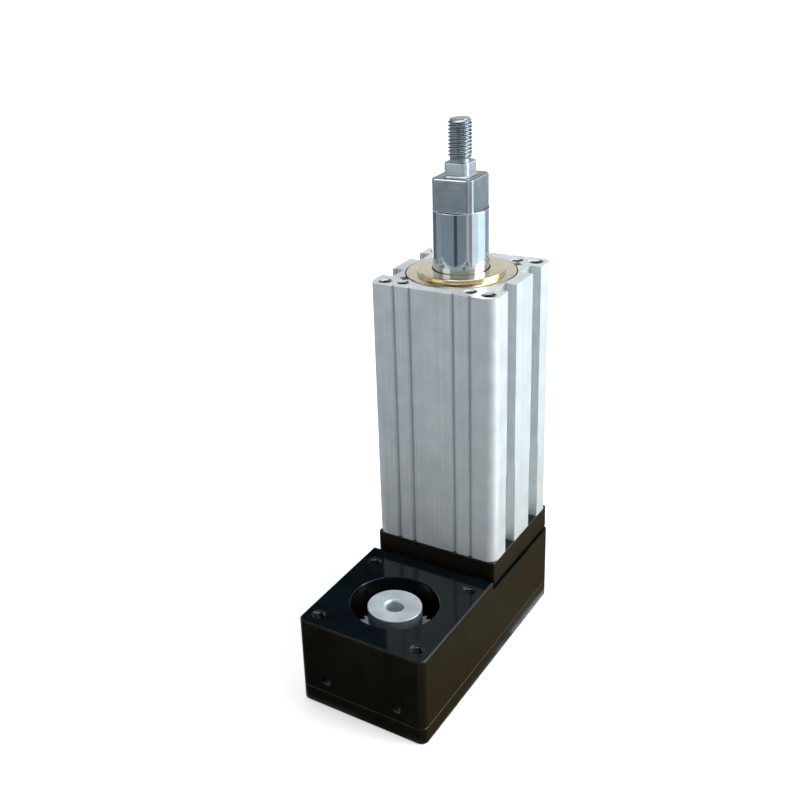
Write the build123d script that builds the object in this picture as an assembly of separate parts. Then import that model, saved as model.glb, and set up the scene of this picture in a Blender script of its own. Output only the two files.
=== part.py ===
from build123d import *
import math
import os

# Electric cylinder with its motor folded alongside the rod: a belt housing carries a
# square aluminium cylinder in which a ball screw drives a hollow piston rod.
# Millimetres, +Z up along the rod. The origin is the centre of the base's underside,
# X runs across the front and Y from the motor end to the rod end.

# Belt drive
BELT_PITCH = 3.0
BELT_TEETH = 80
BELT_WIDTH = 10.0
BELT_BACK = 1.3
BELT_TOOTH_DEPTH = 1.1
BELT_TOOTH_WIDTH = 1.5
PULLEY_TEETH = 36
PITCH_LINE_OFFSET = 0.38
TOOTH_GAP_DEPTH = 1.25
TOOTH_GAP_WIDTH = 2.0
TOOTH_ROOT_WIDTH = 1.3
BELT_CLEARANCE = 0.25
BELT_SIDE_CLEARANCE = 0.6
PULLEY_FLANGE_RADIUS = 19.2
PULLEY_FLANGE_THICKNESS = 1.0

# Cylinder tube
TUBE_WIDTH = 58.0
TUBE_LENGTH = 122.5
TUBE_CORNER = 4.5
TUBE_BORE_RADIUS = 21.0
KEYWAY_WIDTH = 4.4
KEYWAY_RADIUS = 26.6
SLOT_OFFSET = 12.5
SLOT_MOUTH = 8.6
SLOT_INNER = 9.8
SLOT_DEPTH = 5.3
SLOT_LIP = 1.6
SLOT_ENTRY_LENGTH = 42.0
GROOVE_OFFSETS = (10.0, 17.5)
GROOVE_DEPTH = 1.9
TIE_EDGE_DISTANCE = 5.2
TIE_THREAD_RADIUS = 2.5
TIE_THREAD_DEPTH = 17.0
CORNER_HOLE_RADIUS = 3.0
CORNER_HOLE_DEPTH = 17.0
FLANGE_HOLE_SIDE_DISTANCE = 13.4
FLANGE_HOLE_FRONT_DISTANCE = 6.1
FLANGE_HOLE_RADIUS = 2.5
FLANGE_HOLE_DEPTH = 14.0
HOLE_CHAMFER = 0.6

# Belt housing and its cover
EDGE_LEDGE = 1.0
MOTOR_EDGE_DISTANCE = 31.0
HOUSING_CORNER = 3.5
COVER_THICKNESS = 8.0
MOTOR_DECK_Z = 41.5
REAR_DECK_Z = 37.0
STEP_GAP = 3.0
CAVITY_RADIUS = 23.0
BELT_CHANNEL_WIDTH = 41.0
DECK_THICKNESS = 6.0
PILOT_RADIUS = 19.1
PILOT_LENGTH = 1.6
PILOT_RELIEF_RADIUS = 19.5
PILOT_DEPTH = 3.6
MOTOR_HOLE_SPACING = 47.14
MOTOR_THREAD_RADIUS = 2.5
MOTOR_THREAD_DEPTH = 12.0
FRONT_HOLE_SPACING = 34.0
FRONT_HOLE_Z = 14.0
FRONT_THREAD_RADIUS = 2.5
FRONT_THREAD_DEPTH = 11.0
EDGE_CHAMFER = 0.5
SEAM_CHAMFER = 0.3
DRILL_ALLOWANCE = 1.0

# Bearing block and bearings
BLOCK_THICKNESS = 12.0
BLOCK_SHOULDER = 2.0
BLOCK_RELIEF_HEIGHT = 1.2
BLOCK_RELIEF_DEPTH = 1.6
BLOCK_CORNER = 1.0
SPIGOT_RADIUS = 20.0
BOSS_HEIGHT = 2.0
BOSS_HOLE_RADIUS = 10.0
BEARING_OUTER_RADIUS = 14.0
BEARING_BORE_RADIUS = 6.0
BEARING_WIDTH = 8.0
BEARING_COUNT = 2
RING_WALL = 2.2
SHIELD_INSET = 0.4
SHIELD_THICKNESS = 0.6
SHIELD_CLEARANCE = 0.15
RETAINER_THICKNESS = 2.5
RETAINER_HOLE_RADIUS = 12.2
LOCK_NUT_RADIUS = 11.0
LOCK_NUT_THICKNESS = 6.0
LOCK_NUT_GAP = 0.4
LOCK_NUT_SLOT = 3.6
LOCK_NUT_SLOT_DEPTH = 1.8
DOWEL_RADIUS = 2.0
DOWEL_LENGTH = 10.0
DOWEL_X = 24.0

# Ball screw and nut
SCREW_RADIUS = 8.0
SCREW_COLLAR_RADIUS = 9.0
SCREW_COLLAR_LENGTH = 3.0
JOURNAL_RADIUS = 5.0
JOURNAL_OVERHANG = 2.25
NUT_RADIUS = 14.0
NUT_LENGTH = 21.0
PULLEY_KEY_WIDTH = 3.0
PULLEY_KEY_IN_SHAFT = 1.8
PULLEY_KEY_IN_HUB = 1.2
TIP_BUSH_LENGTH = 8.0
TIP_JOURNAL_RADIUS = 5.0
SNAP_RING_RADIUS = 7.5
SNAP_RING_THICKNESS = 1.0
SNAP_RING_GROOVE = 0.6
SNAP_RING_GAP = 2.5

# Piston rod, its carrier and its end
STROKE = 50.0
REST_EXTENSION = 17.5
ROD_RADIUS = 12.0
ROD_BORE_RADIUS = 8.5
ROD_SPIGOT_RADIUS = 11.0
ROD_TOP_Z = 213.5
FLATS_WIDTH = 18.7
FLATS_HEIGHT = 14.0
STUD_SPIGOT_RADIUS = 6.0
STUD_SPIGOT_LENGTH = 18.0
NECK_FLATS = 10.4
NECK_RADIUS = 6.2
NECK_HEIGHT = 6.0
STUD_RADIUS = 5.0
STUD_LENGTH = 17.5
STUD_RELIEF_LENGTH = 2.0
STUD_RELIEF_RADIUS = 4.2
STUD_BEVEL = 1.0
CARRIER_CLEARANCE = 0.2
NUT_RING_THICKNESS = 1.5
NUT_RING_BITE = 1.5
NUT_RING_GAP = 3.0
NUT_RING_INSET = 1.0
CARRIER_WEB = 2.0
ROD_SOCKET_DEPTH = 10.5
WEAR_RING_WIDTH = 8.0
WEAR_RING_WALL = 1.7
MAGNET_WIDTH = 5.0
MAGNET_WALL = 3.5
KEY_LENGTH = 13.0
KEY_INNER_RADIUS = 16.5
BUMPER_THICKNESS = 4.0
BUMPER_CLEARANCE = 1.0

# Rod guide
GUIDE_FLANGE_RADIUS = 23.4
GUIDE_SEAT_CLEARANCE = 0.5
GUIDE_FLANGE_THICKNESS = 4.5
GUIDE_FLANGE_PROUD = 0.3
GUIDE_STEP_RADIUS = 18.9
GUIDE_STEP_HEIGHT = 1.7
GUIDE_MOUTH_CLEARANCE = 0.35
GUIDE_MOUTH_DEPTH = 2.5
SEAL_RADIUS = 15.5
SEAL_THICKNESS = 4.0
SEAL_BELOW_TOP = 8.0

# Fasteners
COVER_SCREW_INSET = 4.0
COVER_CORNER_INSET = 6.0
COVER_REAR_SCREW_X = 9.0
COVER_MID_SCREW_Y = -10.5
COVER_SCREW_RADIUS = 1.5
COVER_SCREW_HEAD_RADIUS = 2.75
COVER_SCREW_HEAD = 3.0
COVER_SCREW_LENGTH = 12.0
TIE_SCREW_LENGTH = 36.0
TIE_SCREW_HEAD_RADIUS = 4.25
TIE_SCREW_HEAD = 5.0
TIE_HEAD_ABOVE_BELT = 1.0
HEAD_CLEARANCE = 0.25
RETAINER_SCREW_RADIUS = 1.5
RETAINER_SCREW_HEAD_RADIUS = 2.5
RETAINER_SCREW_HEAD = 1.6
RETAINER_SCREW_LENGTH = 7.0
GRUB_RADIUS = 2.0
GRUB_LENGTH = 5.0
GRUB_ANGLES = (90, 180)

# Motor pulley
MOTOR_SHAFT_RADIUS = 4.0
HUB_RADIUS = 11.75
HUB_BELOW_DECK = 1.7
MOTOR_PULLEY_FACE = 15.0
MOTOR_PULLEY_DROP = 0.8

# Fits
RUNNING_CLEARANCE = 0.05
SEAT_CLEARANCE = 0.02
THREAD_CLEARANCE = 0.05

# Plan positions
TIE_SPACING = TUBE_WIDTH - 2 * TIE_EDGE_DISTANCE
FLANGE_HOLE_X = TUBE_WIDTH / 2 - FLANGE_HOLE_SIDE_DISTANCE
FLANGE_HOLE_Y = TUBE_WIDTH / 2 - FLANGE_HOLE_FRONT_DISTANCE
BELT_CENTRES = (BELT_TEETH - PULLEY_TEETH) * BELT_PITCH / 2
HOUSING_WIDTH = TUBE_WIDTH + 2 * EDGE_LEDGE
HOUSING_LENGTH = MOTOR_EDGE_DISTANCE + BELT_CENTRES + TUBE_WIDTH / 2 + EDGE_LEDGE
FRONT_Y = -HOUSING_LENGTH / 2
MOTOR_Y = FRONT_Y + MOTOR_EDGE_DISTANCE
ROD_Y = MOTOR_Y + BELT_CENTRES
STEP_Y = ROD_Y - TUBE_WIDTH / 2 - STEP_GAP

# Heights, from the base up
BLOCK_TOP_Z = REAR_DECK_Z + BLOCK_THICKNESS
TUBE_TOP_Z = BLOCK_TOP_Z + TUBE_LENGTH
BEARING_TOP_Z = BLOCK_TOP_Z - BLOCK_SHOULDER
BEARING_BOTTOM_Z = BEARING_TOP_Z - BEARING_COUNT * BEARING_WIDTH
BEARING_BOTTOMS = [BEARING_BOTTOM_Z + i * BEARING_WIDTH for i in range(BEARING_COUNT)]
CAVITY_TOP_Z = REAR_DECK_Z - DECK_THICKNESS
LOCK_NUT_BOTTOM_Z = BEARING_BOTTOM_Z - LOCK_NUT_THICKNESS
PULLEY_FACE = BELT_WIDTH + 2 * BELT_SIDE_CLEARANCE
PULLEY_TOP_Z = LOCK_NUT_BOTTOM_Z - LOCK_NUT_GAP
PULLEY_BOTTOM_Z = PULLEY_TOP_Z - PULLEY_FACE - 2 * PULLEY_FLANGE_THICKNESS
BELT_BOTTOM_Z = PULLEY_BOTTOM_Z + PULLEY_FLANGE_THICKNESS + BELT_SIDE_CLEARANCE
BELT_TOP_Z = BELT_BOTTOM_Z + BELT_WIDTH
HUB_TOP_Z = MOTOR_DECK_Z - HUB_BELOW_DECK
MOTOR_TEETH_BOTTOM_Z = BELT_BOTTOM_Z - MOTOR_PULLEY_DROP

# Travel of the nut carrier
CARRIER_LENGTH = NUT_RING_INSET + NUT_RING_THICKNESS + NUT_LENGTH + CARRIER_WEB + ROD_SOCKET_DEPTH
BOSS_TOP_Z = BLOCK_TOP_Z + BOSS_HEIGHT
CARRIER_HOME_Z = BOSS_TOP_Z + BUMPER_THICKNESS + BUMPER_CLEARANCE
CARRIER_Z = CARRIER_HOME_Z + REST_EXTENSION
NUT_BOTTOM_Z = CARRIER_Z + NUT_RING_INSET + NUT_RING_THICKNESS
ROD_BOTTOM_Z = NUT_BOTTOM_Z + NUT_LENGTH + CARRIER_WEB
GUIDE_BOTTOM_Z = CARRIER_HOME_Z + CARRIER_LENGTH + STROKE + BUMPER_CLEARANCE + BUMPER_THICKNESS
GUIDE_TOP_Z = TUBE_TOP_Z + GUIDE_FLANGE_PROUD + GUIDE_STEP_HEIGHT
SCREW_TIP_Z = GUIDE_BOTTOM_Z + TIP_BUSH_LENGTH
SCREW_END_Z = SCREW_TIP_Z + TIP_BUSH_LENGTH + 2 * SNAP_RING_THICKNESS
ROD_BORE_TOP_Z = SCREW_END_Z + REST_EXTENSION + 2 * BUMPER_CLEARANCE

# Radii of the belt drive
PITCH_RADIUS = BELT_PITCH * PULLEY_TEETH / (2 * math.pi)
TOOTH_TIP_RADIUS = PITCH_RADIUS - PITCH_LINE_OFFSET
FLANGE_SEAT_RADIUS = TOOTH_TIP_RADIUS - 2 * TOOTH_GAP_DEPTH
BELT_INNER_RADIUS = TOOTH_TIP_RADIUS + BELT_CLEARANCE
BELT_OUTER_RADIUS = BELT_INNER_RADIUS + BELT_BACK


def post(radius, bottom, top, x=0.0, y=0.0):
    """Upright cylinder between two heights."""
    return Pos(x, y, (bottom + top) / 2) * Cylinder(radius, top - bottom)


def ring(outer, inner, bottom, top, y=ROD_Y):
    """Upright ring between two heights."""
    return post(outer, bottom, top, y=y) - post(inner, bottom, top, y=y)


def turned(points, y=ROD_Y):
    """Solid turned about an upright axis from (radius, height) points."""
    profile = Plane.XZ * make_face(Polyline(*points, close=True))
    return Pos(0, y, 0) * revolve(profile, Axis.Z)


def slab(width, length, bottom, top, x=0.0, y=0.0):
    """Upright block between two heights."""
    return Pos(x, y, (bottom + top) / 2) * Box(width, length, top - bottom)


def corners(dx, dy):
    """The four corners of a rectangle of half-sizes dx and dy."""
    return [(sx * dx, sy * dy) for sx in (-1, 1) for sy in (-1, 1)]


def chamfered_hole(radius, mouth, bottom, x, y, bevel=HOLE_CHAMFER):
    """Cutter for an upright blind hole with a countersunk mouth at its top."""
    bore = post(radius, bottom, mouth, x, y)
    bevel_cone = Pos(x, y, mouth - bevel / 2) * Cone(radius, radius + bevel, bevel)
    return bore + bevel_cone


def cap_screw(radius, length, head_radius, head, seat_z, x, y):
    """Cap screw that points up, its head under seat_z."""
    return post(radius, seat_z, seat_z + length, x, y) + post(head_radius, seat_z - head, seat_z, x, y)


def on_diagonal(shape):
    """Copies of a shape drawn on +X, turned to the two corners that hold keyways."""
    return [Pos(0, ROD_Y, 0) * Rot(0, 0, angle) * shape for angle in (45, 225)]


def housing_plan():
    """Outline shared by the belt housing and its cover."""
    return RectangleRounded(HOUSING_WIDTH, HOUSING_LENGTH, HOUSING_CORNER)


COVER_SCREW_X = HOUSING_WIDTH / 2 - COVER_SCREW_INSET
COVER_SCREW_SPOTS = [
    (side * x, y)
    for side in (-1, 1)
    for x, y in (
        (HOUSING_WIDTH / 2 - COVER_CORNER_INSET, FRONT_Y + COVER_CORNER_INSET),
        (COVER_SCREW_X, COVER_MID_SCREW_Y),
        (COVER_REAR_SCREW_X, -FRONT_Y - COVER_SCREW_INSET),
    )
]
TIE_SPOTS = [(x, ROD_Y + y) for x, y in corners(TIE_SPACING / 2, TIE_SPACING / 2)]
FLANGE_SPOTS = [(x, ROD_Y + y) for x, y in corners(FLANGE_HOLE_X, FLANGE_HOLE_Y)]
MOTOR_SPOTS = [(x, MOTOR_Y + y) for x, y in corners(MOTOR_HOLE_SPACING / 2, MOTOR_HOLE_SPACING / 2)]
DOWEL_SPOTS = [(-DOWEL_X, ROD_Y), (DOWEL_X, ROD_Y)]
COVER_SCREW_SEAT_Z = COVER_SCREW_HEAD + HEAD_CLEARANCE
TIE_SCREW_SEAT_Z = BELT_TOP_Z + TIE_HEAD_ABOVE_BELT + TIE_SCREW_HEAD
RETAINER_SCREW_CIRCLE = (BEARING_OUTER_RADIUS + SPIGOT_RADIUS) / 2
RETAINER_SCREW_OFFSET = RETAINER_SCREW_CIRCLE / math.sqrt(2)
RETAINER_SPOTS = [(x, ROD_Y + y) for x, y in corners(RETAINER_SCREW_OFFSET, RETAINER_SCREW_OFFSET)]


def belt_housing():
    """Milled housing, open below, with the motor deck in front and a lower deck behind."""
    body = extrude(Pos(0, 0, COVER_THICKNESS) * housing_plan(), MOTOR_DECK_Z - COVER_THICKNESS)
    rear_length = HOUSING_LENGTH / 2 - STEP_Y
    body -= slab(HOUSING_WIDTH, rear_length, REAR_DECK_Z, MOTOR_DECK_Z, y=STEP_Y + rear_length / 2)
    top_edges = body.faces().sort_by(Axis.Z)[-1].edges()
    body = chamfer(top_edges, EDGE_CHAMFER)
    seam_edges = body.faces().sort_by(Axis.Z)[0].edges()
    body = chamfer(seam_edges, SEAM_CHAMFER)
    for y in (MOTOR_Y, ROD_Y):
        body -= post(CAVITY_RADIUS, COVER_THICKNESS, CAVITY_TOP_Z, y=y)
    body -= slab(BELT_CHANNEL_WIDTH, BELT_CENTRES, COVER_THICKNESS, CAVITY_TOP_Z, y=(MOTOR_Y + ROD_Y) / 2)
    relief_bottom = MOTOR_DECK_Z - PILOT_DEPTH
    body -= post(CAVITY_RADIUS, CAVITY_TOP_Z, relief_bottom, y=MOTOR_Y)
    body -= post(PILOT_RELIEF_RADIUS, relief_bottom, MOTOR_DECK_Z - PILOT_LENGTH, y=MOTOR_Y)
    body -= chamfered_hole(PILOT_RADIUS, MOTOR_DECK_Z, CAVITY_TOP_Z, 0, MOTOR_Y, SEAM_CHAMFER)
    body -= post(SPIGOT_RADIUS + SEAT_CLEARANCE, CAVITY_TOP_Z, REAR_DECK_Z, y=ROD_Y)
    for x, y in MOTOR_SPOTS:
        bottom = MOTOR_DECK_Z - MOTOR_THREAD_DEPTH
        body -= chamfered_hole(MOTOR_THREAD_RADIUS, MOTOR_DECK_Z, bottom, x, y)
    for side in (-1, 1):
        hole = Pos(side * FRONT_HOLE_SPACING / 2, FRONT_Y + FRONT_THREAD_DEPTH / 2, FRONT_HOLE_Z)
        body -= hole * Rot(90, 0, 0) * Cylinder(FRONT_THREAD_RADIUS, FRONT_THREAD_DEPTH)
    for x, y in TIE_SPOTS:
        body -= post(TIE_THREAD_RADIUS + HEAD_CLEARANCE, TIE_SCREW_SEAT_Z, REAR_DECK_Z, x, y)
        body -= post(TIE_SCREW_HEAD_RADIUS + HEAD_CLEARANCE, COVER_THICKNESS, TIE_SCREW_SEAT_Z, x, y)
    for x, y in COVER_SCREW_SPOTS:
        drilled_z = COVER_SCREW_SEAT_Z + COVER_SCREW_LENGTH + DRILL_ALLOWANCE
        body -= post(COVER_SCREW_RADIUS + THREAD_CLEARANCE, COVER_THICKNESS, drilled_z, x, y)
    for x, y in DOWEL_SPOTS:
        body -= post(DOWEL_RADIUS + SEAT_CLEARANCE, REAR_DECK_Z - DOWEL_LENGTH / 2, REAR_DECK_Z, x, y)
    return body


def base_cover():
    """Plate that closes the housing from below, with sunk screw heads."""
    plate = extrude(housing_plan(), COVER_THICKNESS)
    plate = chamfer(plate.faces().sort_by(Axis.Z)[0].edges(), EDGE_CHAMFER)
    plate = chamfer(plate.faces().sort_by(Axis.Z)[-1].edges(), SEAM_CHAMFER)
    for x, y in COVER_SCREW_SPOTS:
        plate -= post(COVER_SCREW_RADIUS + HEAD_CLEARANCE, 0, COVER_THICKNESS, x, y)
        plate -= post(COVER_SCREW_HEAD_RADIUS + HEAD_CLEARANCE, 0, COVER_SCREW_SEAT_Z, x, y)
    return plate


def cover_screws():
    """Screws that hold the cover, flush with its underside."""
    return [
        cap_screw(COVER_SCREW_RADIUS, COVER_SCREW_LENGTH, COVER_SCREW_HEAD_RADIUS,
                  COVER_SCREW_HEAD, COVER_SCREW_SEAT_Z, x, y)
        for x, y in COVER_SCREW_SPOTS
    ]


def tie_screws():
    """Long screws from inside the housing, through the block, into the tube's corners."""
    return [
        cap_screw(TIE_THREAD_RADIUS - THREAD_CLEARANCE, TIE_SCREW_LENGTH, TIE_SCREW_HEAD_RADIUS,
                  TIE_SCREW_HEAD, TIE_SCREW_SEAT_Z, x, y)
        for x, y in TIE_SPOTS
    ]


def bearing_block():
    """Square plate under the tube, with a bearing seat that reaches into the housing."""
    plan = Pos(0, ROD_Y, REAR_DECK_Z) * RectangleRounded(TUBE_WIDTH, TUBE_WIDTH, BLOCK_CORNER)
    block = extrude(plan, BLOCK_THICKNESS)
    block = chamfer(block.faces().sort_by(Axis.Z)[-1].edges(), SEAM_CHAMFER)
    inner_width = TUBE_WIDTH - 2 * BLOCK_RELIEF_DEPTH
    relief_top = REAR_DECK_Z + BLOCK_RELIEF_HEIGHT
    relief = slab(TUBE_WIDTH, TUBE_WIDTH, REAR_DECK_Z, relief_top, y=ROD_Y)
    relief -= slab(inner_width, inner_width, REAR_DECK_Z, relief_top, y=ROD_Y)
    block -= relief
    block += post(SPIGOT_RADIUS, BEARING_BOTTOM_Z, REAR_DECK_Z, y=ROD_Y)
    block += post(TUBE_BORE_RADIUS - RUNNING_CLEARANCE, BLOCK_TOP_Z, BOSS_TOP_Z, y=ROD_Y)
    block -= post(BEARING_OUTER_RADIUS + SEAT_CLEARANCE, BEARING_BOTTOM_Z, BEARING_TOP_Z, y=ROD_Y)
    block -= post(BOSS_HOLE_RADIUS, BEARING_TOP_Z, BOSS_TOP_Z, y=ROD_Y)
    for x, y in TIE_SPOTS:
        block -= post(TIE_THREAD_RADIUS + HEAD_CLEARANCE, REAR_DECK_Z, BLOCK_TOP_Z, x, y)
    for x, y in DOWEL_SPOTS:
        block -= post(DOWEL_RADIUS + SEAT_CLEARANCE, REAR_DECK_Z, REAR_DECK_Z + DOWEL_LENGTH / 2, x, y)
    for x, y in RETAINER_SPOTS:
        drilled_z = BEARING_BOTTOM_Z - RETAINER_THICKNESS + RETAINER_SCREW_LENGTH + DRILL_ALLOWANCE
        block -= post(RETAINER_SCREW_RADIUS + THREAD_CLEARANCE, BEARING_BOTTOM_Z, drilled_z, x, y)
    return block


def block_dowels():
    """Pins that place the bearing block on the housing's rear deck."""
    half = DOWEL_LENGTH / 2 - THREAD_CLEARANCE
    return [post(DOWEL_RADIUS, REAR_DECK_Z - half, REAR_DECK_Z + half, x, y) for x, y in DOWEL_SPOTS]


def tube_profile():
    """Cross-section of the extruded tube, centred on the rod's axis."""
    half = TUBE_WIDTH / 2
    profile = RectangleRounded(TUBE_WIDTH, TUBE_WIDTH, TUBE_CORNER)
    profile -= Circle(TUBE_BORE_RADIUS)
    for angle in (45, 225):
        profile -= Rot(0, 0, angle) * Pos(KEYWAY_RADIUS / 2, 0) * Rectangle(KEYWAY_RADIUS, KEYWAY_WIDTH)
    mouth = Pos(half - SLOT_LIP / 2, 0) * Rectangle(SLOT_LIP, SLOT_MOUTH)
    inner_depth = SLOT_DEPTH - SLOT_LIP
    slot = mouth + Pos(half - SLOT_LIP - inner_depth / 2, 0) * Rectangle(inner_depth, SLOT_INNER)
    vee = Polyline((-GROOVE_DEPTH, -half), (GROOVE_DEPTH, -half), (0, GROOVE_DEPTH - half), close=True)
    groove = make_face(vee)
    for turn in (0, 180):
        for side in (-1, 1):
            profile -= Rot(0, 0, turn) * Pos(0, side * SLOT_OFFSET) * slot
            for offset in GROOVE_OFFSETS:
                profile -= Rot(0, 0, turn) * Pos(side * offset, 0) * groove
    return profile


def slot_entries():
    """Cutters that open each T-slot's mouth to its inner width, from the tube's foot up."""
    end_radius = SLOT_INNER / 2
    straight_top = BLOCK_TOP_Z + SLOT_ENTRY_LENGTH - end_radius
    cutters = []
    for x_side, y_side in corners(1, 1):
        x = x_side * (TUBE_WIDTH - SLOT_LIP) / 2
        y = ROD_Y + y_side * SLOT_OFFSET
        cutters.append(slab(SLOT_LIP, SLOT_INNER, BLOCK_TOP_Z, straight_top, x, y))
        cutters.append(Pos(x, y, straight_top) * Rot(0, 90, 0) * Cylinder(end_radius, SLOT_LIP))
    return cutters


def cylinder_tube():
    """Extruded tube, faced and tapped at both ends and counterbored for the rod guide."""
    tube = extrude(Pos(0, ROD_Y, BLOCK_TOP_Z) * tube_profile(), TUBE_LENGTH)
    seat_radius = GUIDE_FLANGE_RADIUS + GUIDE_SEAT_CLEARANCE
    seat_depth = GUIDE_FLANGE_THICKNESS - GUIDE_FLANGE_PROUD
    tube -= post(seat_radius, TUBE_TOP_Z - seat_depth, TUBE_TOP_Z, y=ROD_Y)
    tube -= slot_entries()
    for x, y in TIE_SPOTS:
        tube -= post(TIE_THREAD_RADIUS, BLOCK_TOP_Z, BLOCK_TOP_Z + TIE_THREAD_DEPTH, x, y)
        bottom = TUBE_TOP_Z - CORNER_HOLE_DEPTH
        tube -= chamfered_hole(CORNER_HOLE_RADIUS, TUBE_TOP_Z, bottom, x, y, SEAM_CHAMFER)
    for x, y in FLANGE_SPOTS:
        bottom = TUBE_TOP_Z - FLANGE_HOLE_DEPTH
        tube -= chamfered_hole(FLANGE_HOLE_RADIUS, TUBE_TOP_Z, bottom, x, y, SEAM_CHAMFER)
    return tube


def rod_guide():
    """Brass bush pressed into the tube's mouth, with a raised collar round the rod."""
    bore = ROD_RADIUS + RUNNING_CLEARANCE
    mouth = ROD_RADIUS + GUIDE_MOUTH_CLEARANCE
    seat_z = TUBE_TOP_Z + GUIDE_FLANGE_PROUD - GUIDE_FLANGE_THICKNESS
    flange_z = TUBE_TOP_Z + GUIDE_FLANGE_PROUD
    seal_top = GUIDE_TOP_Z - SEAL_BELOW_TOP
    bevel = EDGE_CHAMFER
    return turned([
        (bore, GUIDE_BOTTOM_Z),
        (TUBE_BORE_RADIUS - SEAT_CLEARANCE, GUIDE_BOTTOM_Z),
        (TUBE_BORE_RADIUS - SEAT_CLEARANCE, seat_z),
        (GUIDE_FLANGE_RADIUS, seat_z),
        (GUIDE_FLANGE_RADIUS, flange_z - bevel),
        (GUIDE_FLANGE_RADIUS - bevel, flange_z),
        (GUIDE_STEP_RADIUS, flange_z),
        (GUIDE_STEP_RADIUS, GUIDE_TOP_Z - bevel),
        (GUIDE_STEP_RADIUS - bevel, GUIDE_TOP_Z),
        (mouth, GUIDE_TOP_Z),
        (mouth, GUIDE_TOP_Z - GUIDE_MOUTH_DEPTH),
        (bore, GUIDE_TOP_Z - GUIDE_MOUTH_DEPTH),
        (bore, seal_top),
        (SEAL_RADIUS, seal_top),
        (SEAL_RADIUS, seal_top - SEAL_THICKNESS),
        (bore, seal_top - SEAL_THICKNESS),
    ])


def rod_seal():
    """Lip seal in the guide's inner groove."""
    top = GUIDE_TOP_Z - SEAL_BELOW_TOP
    return ring(SEAL_RADIUS, ROD_RADIUS + RUNNING_CLEARANCE, top - SEAL_THICKNESS, top)


def bumper(bottom):
    """Rubber stop ring that lines the end of the tube's bore."""
    outer = TUBE_BORE_RADIUS - CARRIER_CLEARANCE
    return ring(outer, ROD_RADIUS + BUMPER_CLEARANCE, bottom, bottom + BUMPER_THICKNESS)


def bearing_outer_ring(bottom):
    """Outer ring of a ball bearing with the two shields pressed into it."""
    inner = BEARING_OUTER_RADIUS - RING_WALL
    shield_edge = BEARING_BORE_RADIUS + RING_WALL + SHIELD_CLEARANCE
    outer_ring = ring(BEARING_OUTER_RADIUS, inner, bottom, bottom + BEARING_WIDTH)
    lower = bottom + SHIELD_INSET
    upper = bottom + BEARING_WIDTH - SHIELD_INSET - SHIELD_THICKNESS
    for shield in (lower, upper):
        outer_ring += ring(inner, shield_edge, shield, shield + SHIELD_THICKNESS)
    return outer_ring


def bearing_inner_ring(bottom):
    """Inner ring of a ball bearing."""
    return ring(BEARING_BORE_RADIUS + RING_WALL, BEARING_BORE_RADIUS, bottom, bottom + BEARING_WIDTH)


def bearing_retainer():
    """Ring screwed under the block that holds the outer rings up."""
    bottom = BEARING_BOTTOM_Z - RETAINER_THICKNESS
    plate = ring(SPIGOT_RADIUS, RETAINER_HOLE_RADIUS, bottom, BEARING_BOTTOM_Z)
    for x, y in RETAINER_SPOTS:
        plate -= post(RETAINER_SCREW_RADIUS + THREAD_CLEARANCE, bottom, BEARING_BOTTOM_Z, x, y)
    return plate


def retainer_screws():
    """Low-head screws of the bearing retainer."""
    seat = BEARING_BOTTOM_Z - RETAINER_THICKNESS
    return [
        cap_screw(RETAINER_SCREW_RADIUS, RETAINER_SCREW_LENGTH, RETAINER_SCREW_HEAD_RADIUS,
                  RETAINER_SCREW_HEAD, seat, x, y)
        for x, y in RETAINER_SPOTS
    ]


def ball_screw():
    """Screw shaft with its drive journal, bearing seat, collar and guided tip."""
    journal_end = PULLEY_BOTTOM_Z - JOURNAL_OVERHANG
    collar_top = BEARING_TOP_Z + SCREW_COLLAR_LENGTH
    bevel = EDGE_CHAMFER
    shaft = turned([
        (0, journal_end),
        (JOURNAL_RADIUS - bevel, journal_end),
        (JOURNAL_RADIUS, journal_end + bevel),
        (JOURNAL_RADIUS, LOCK_NUT_BOTTOM_Z),
        (BEARING_BORE_RADIUS - SEAT_CLEARANCE, LOCK_NUT_BOTTOM_Z),
        (BEARING_BORE_RADIUS - SEAT_CLEARANCE, BEARING_TOP_Z),
        (SCREW_COLLAR_RADIUS, BEARING_TOP_Z),
        (SCREW_COLLAR_RADIUS, collar_top),
        (SCREW_RADIUS, collar_top),
        (SCREW_RADIUS, SCREW_TIP_Z),
        (TIP_JOURNAL_RADIUS, SCREW_TIP_Z),
        (TIP_JOURNAL_RADIUS, SCREW_END_Z),
        (0, SCREW_END_Z),
    ])
    for bottom in (PULLEY_BOTTOM_Z - SNAP_RING_THICKNESS, SCREW_TIP_Z + TIP_BUSH_LENGTH):
        groove_radius = JOURNAL_RADIUS - SNAP_RING_GROOVE
        shaft -= ring(JOURNAL_RADIUS, groove_radius, bottom, bottom + SNAP_RING_THICKNESS)
    return shaft - pulley_key()


def pulley_key():
    """Key between the journal and the screw pulley, as long as the pulley."""
    inner = JOURNAL_RADIUS - PULLEY_KEY_IN_SHAFT
    outer = JOURNAL_RADIUS + PULLEY_KEY_IN_HUB
    middle = (inner + outer) / 2
    return slab(outer - inner, PULLEY_KEY_WIDTH, PULLEY_BOTTOM_Z, PULLEY_TOP_Z, x=middle, y=ROD_Y)


def snap_ring(bottom):
    """Open retaining ring in a groove of a journal."""
    top = bottom + SNAP_RING_THICKNESS
    inner = JOURNAL_RADIUS - SNAP_RING_GROOVE + SEAT_CLEARANCE
    blank = ring(SNAP_RING_RADIUS, inner, bottom, top)
    return blank - slab(SNAP_RING_GAP, SNAP_RING_RADIUS, bottom, top, y=ROD_Y - SNAP_RING_RADIUS / 2)


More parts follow.
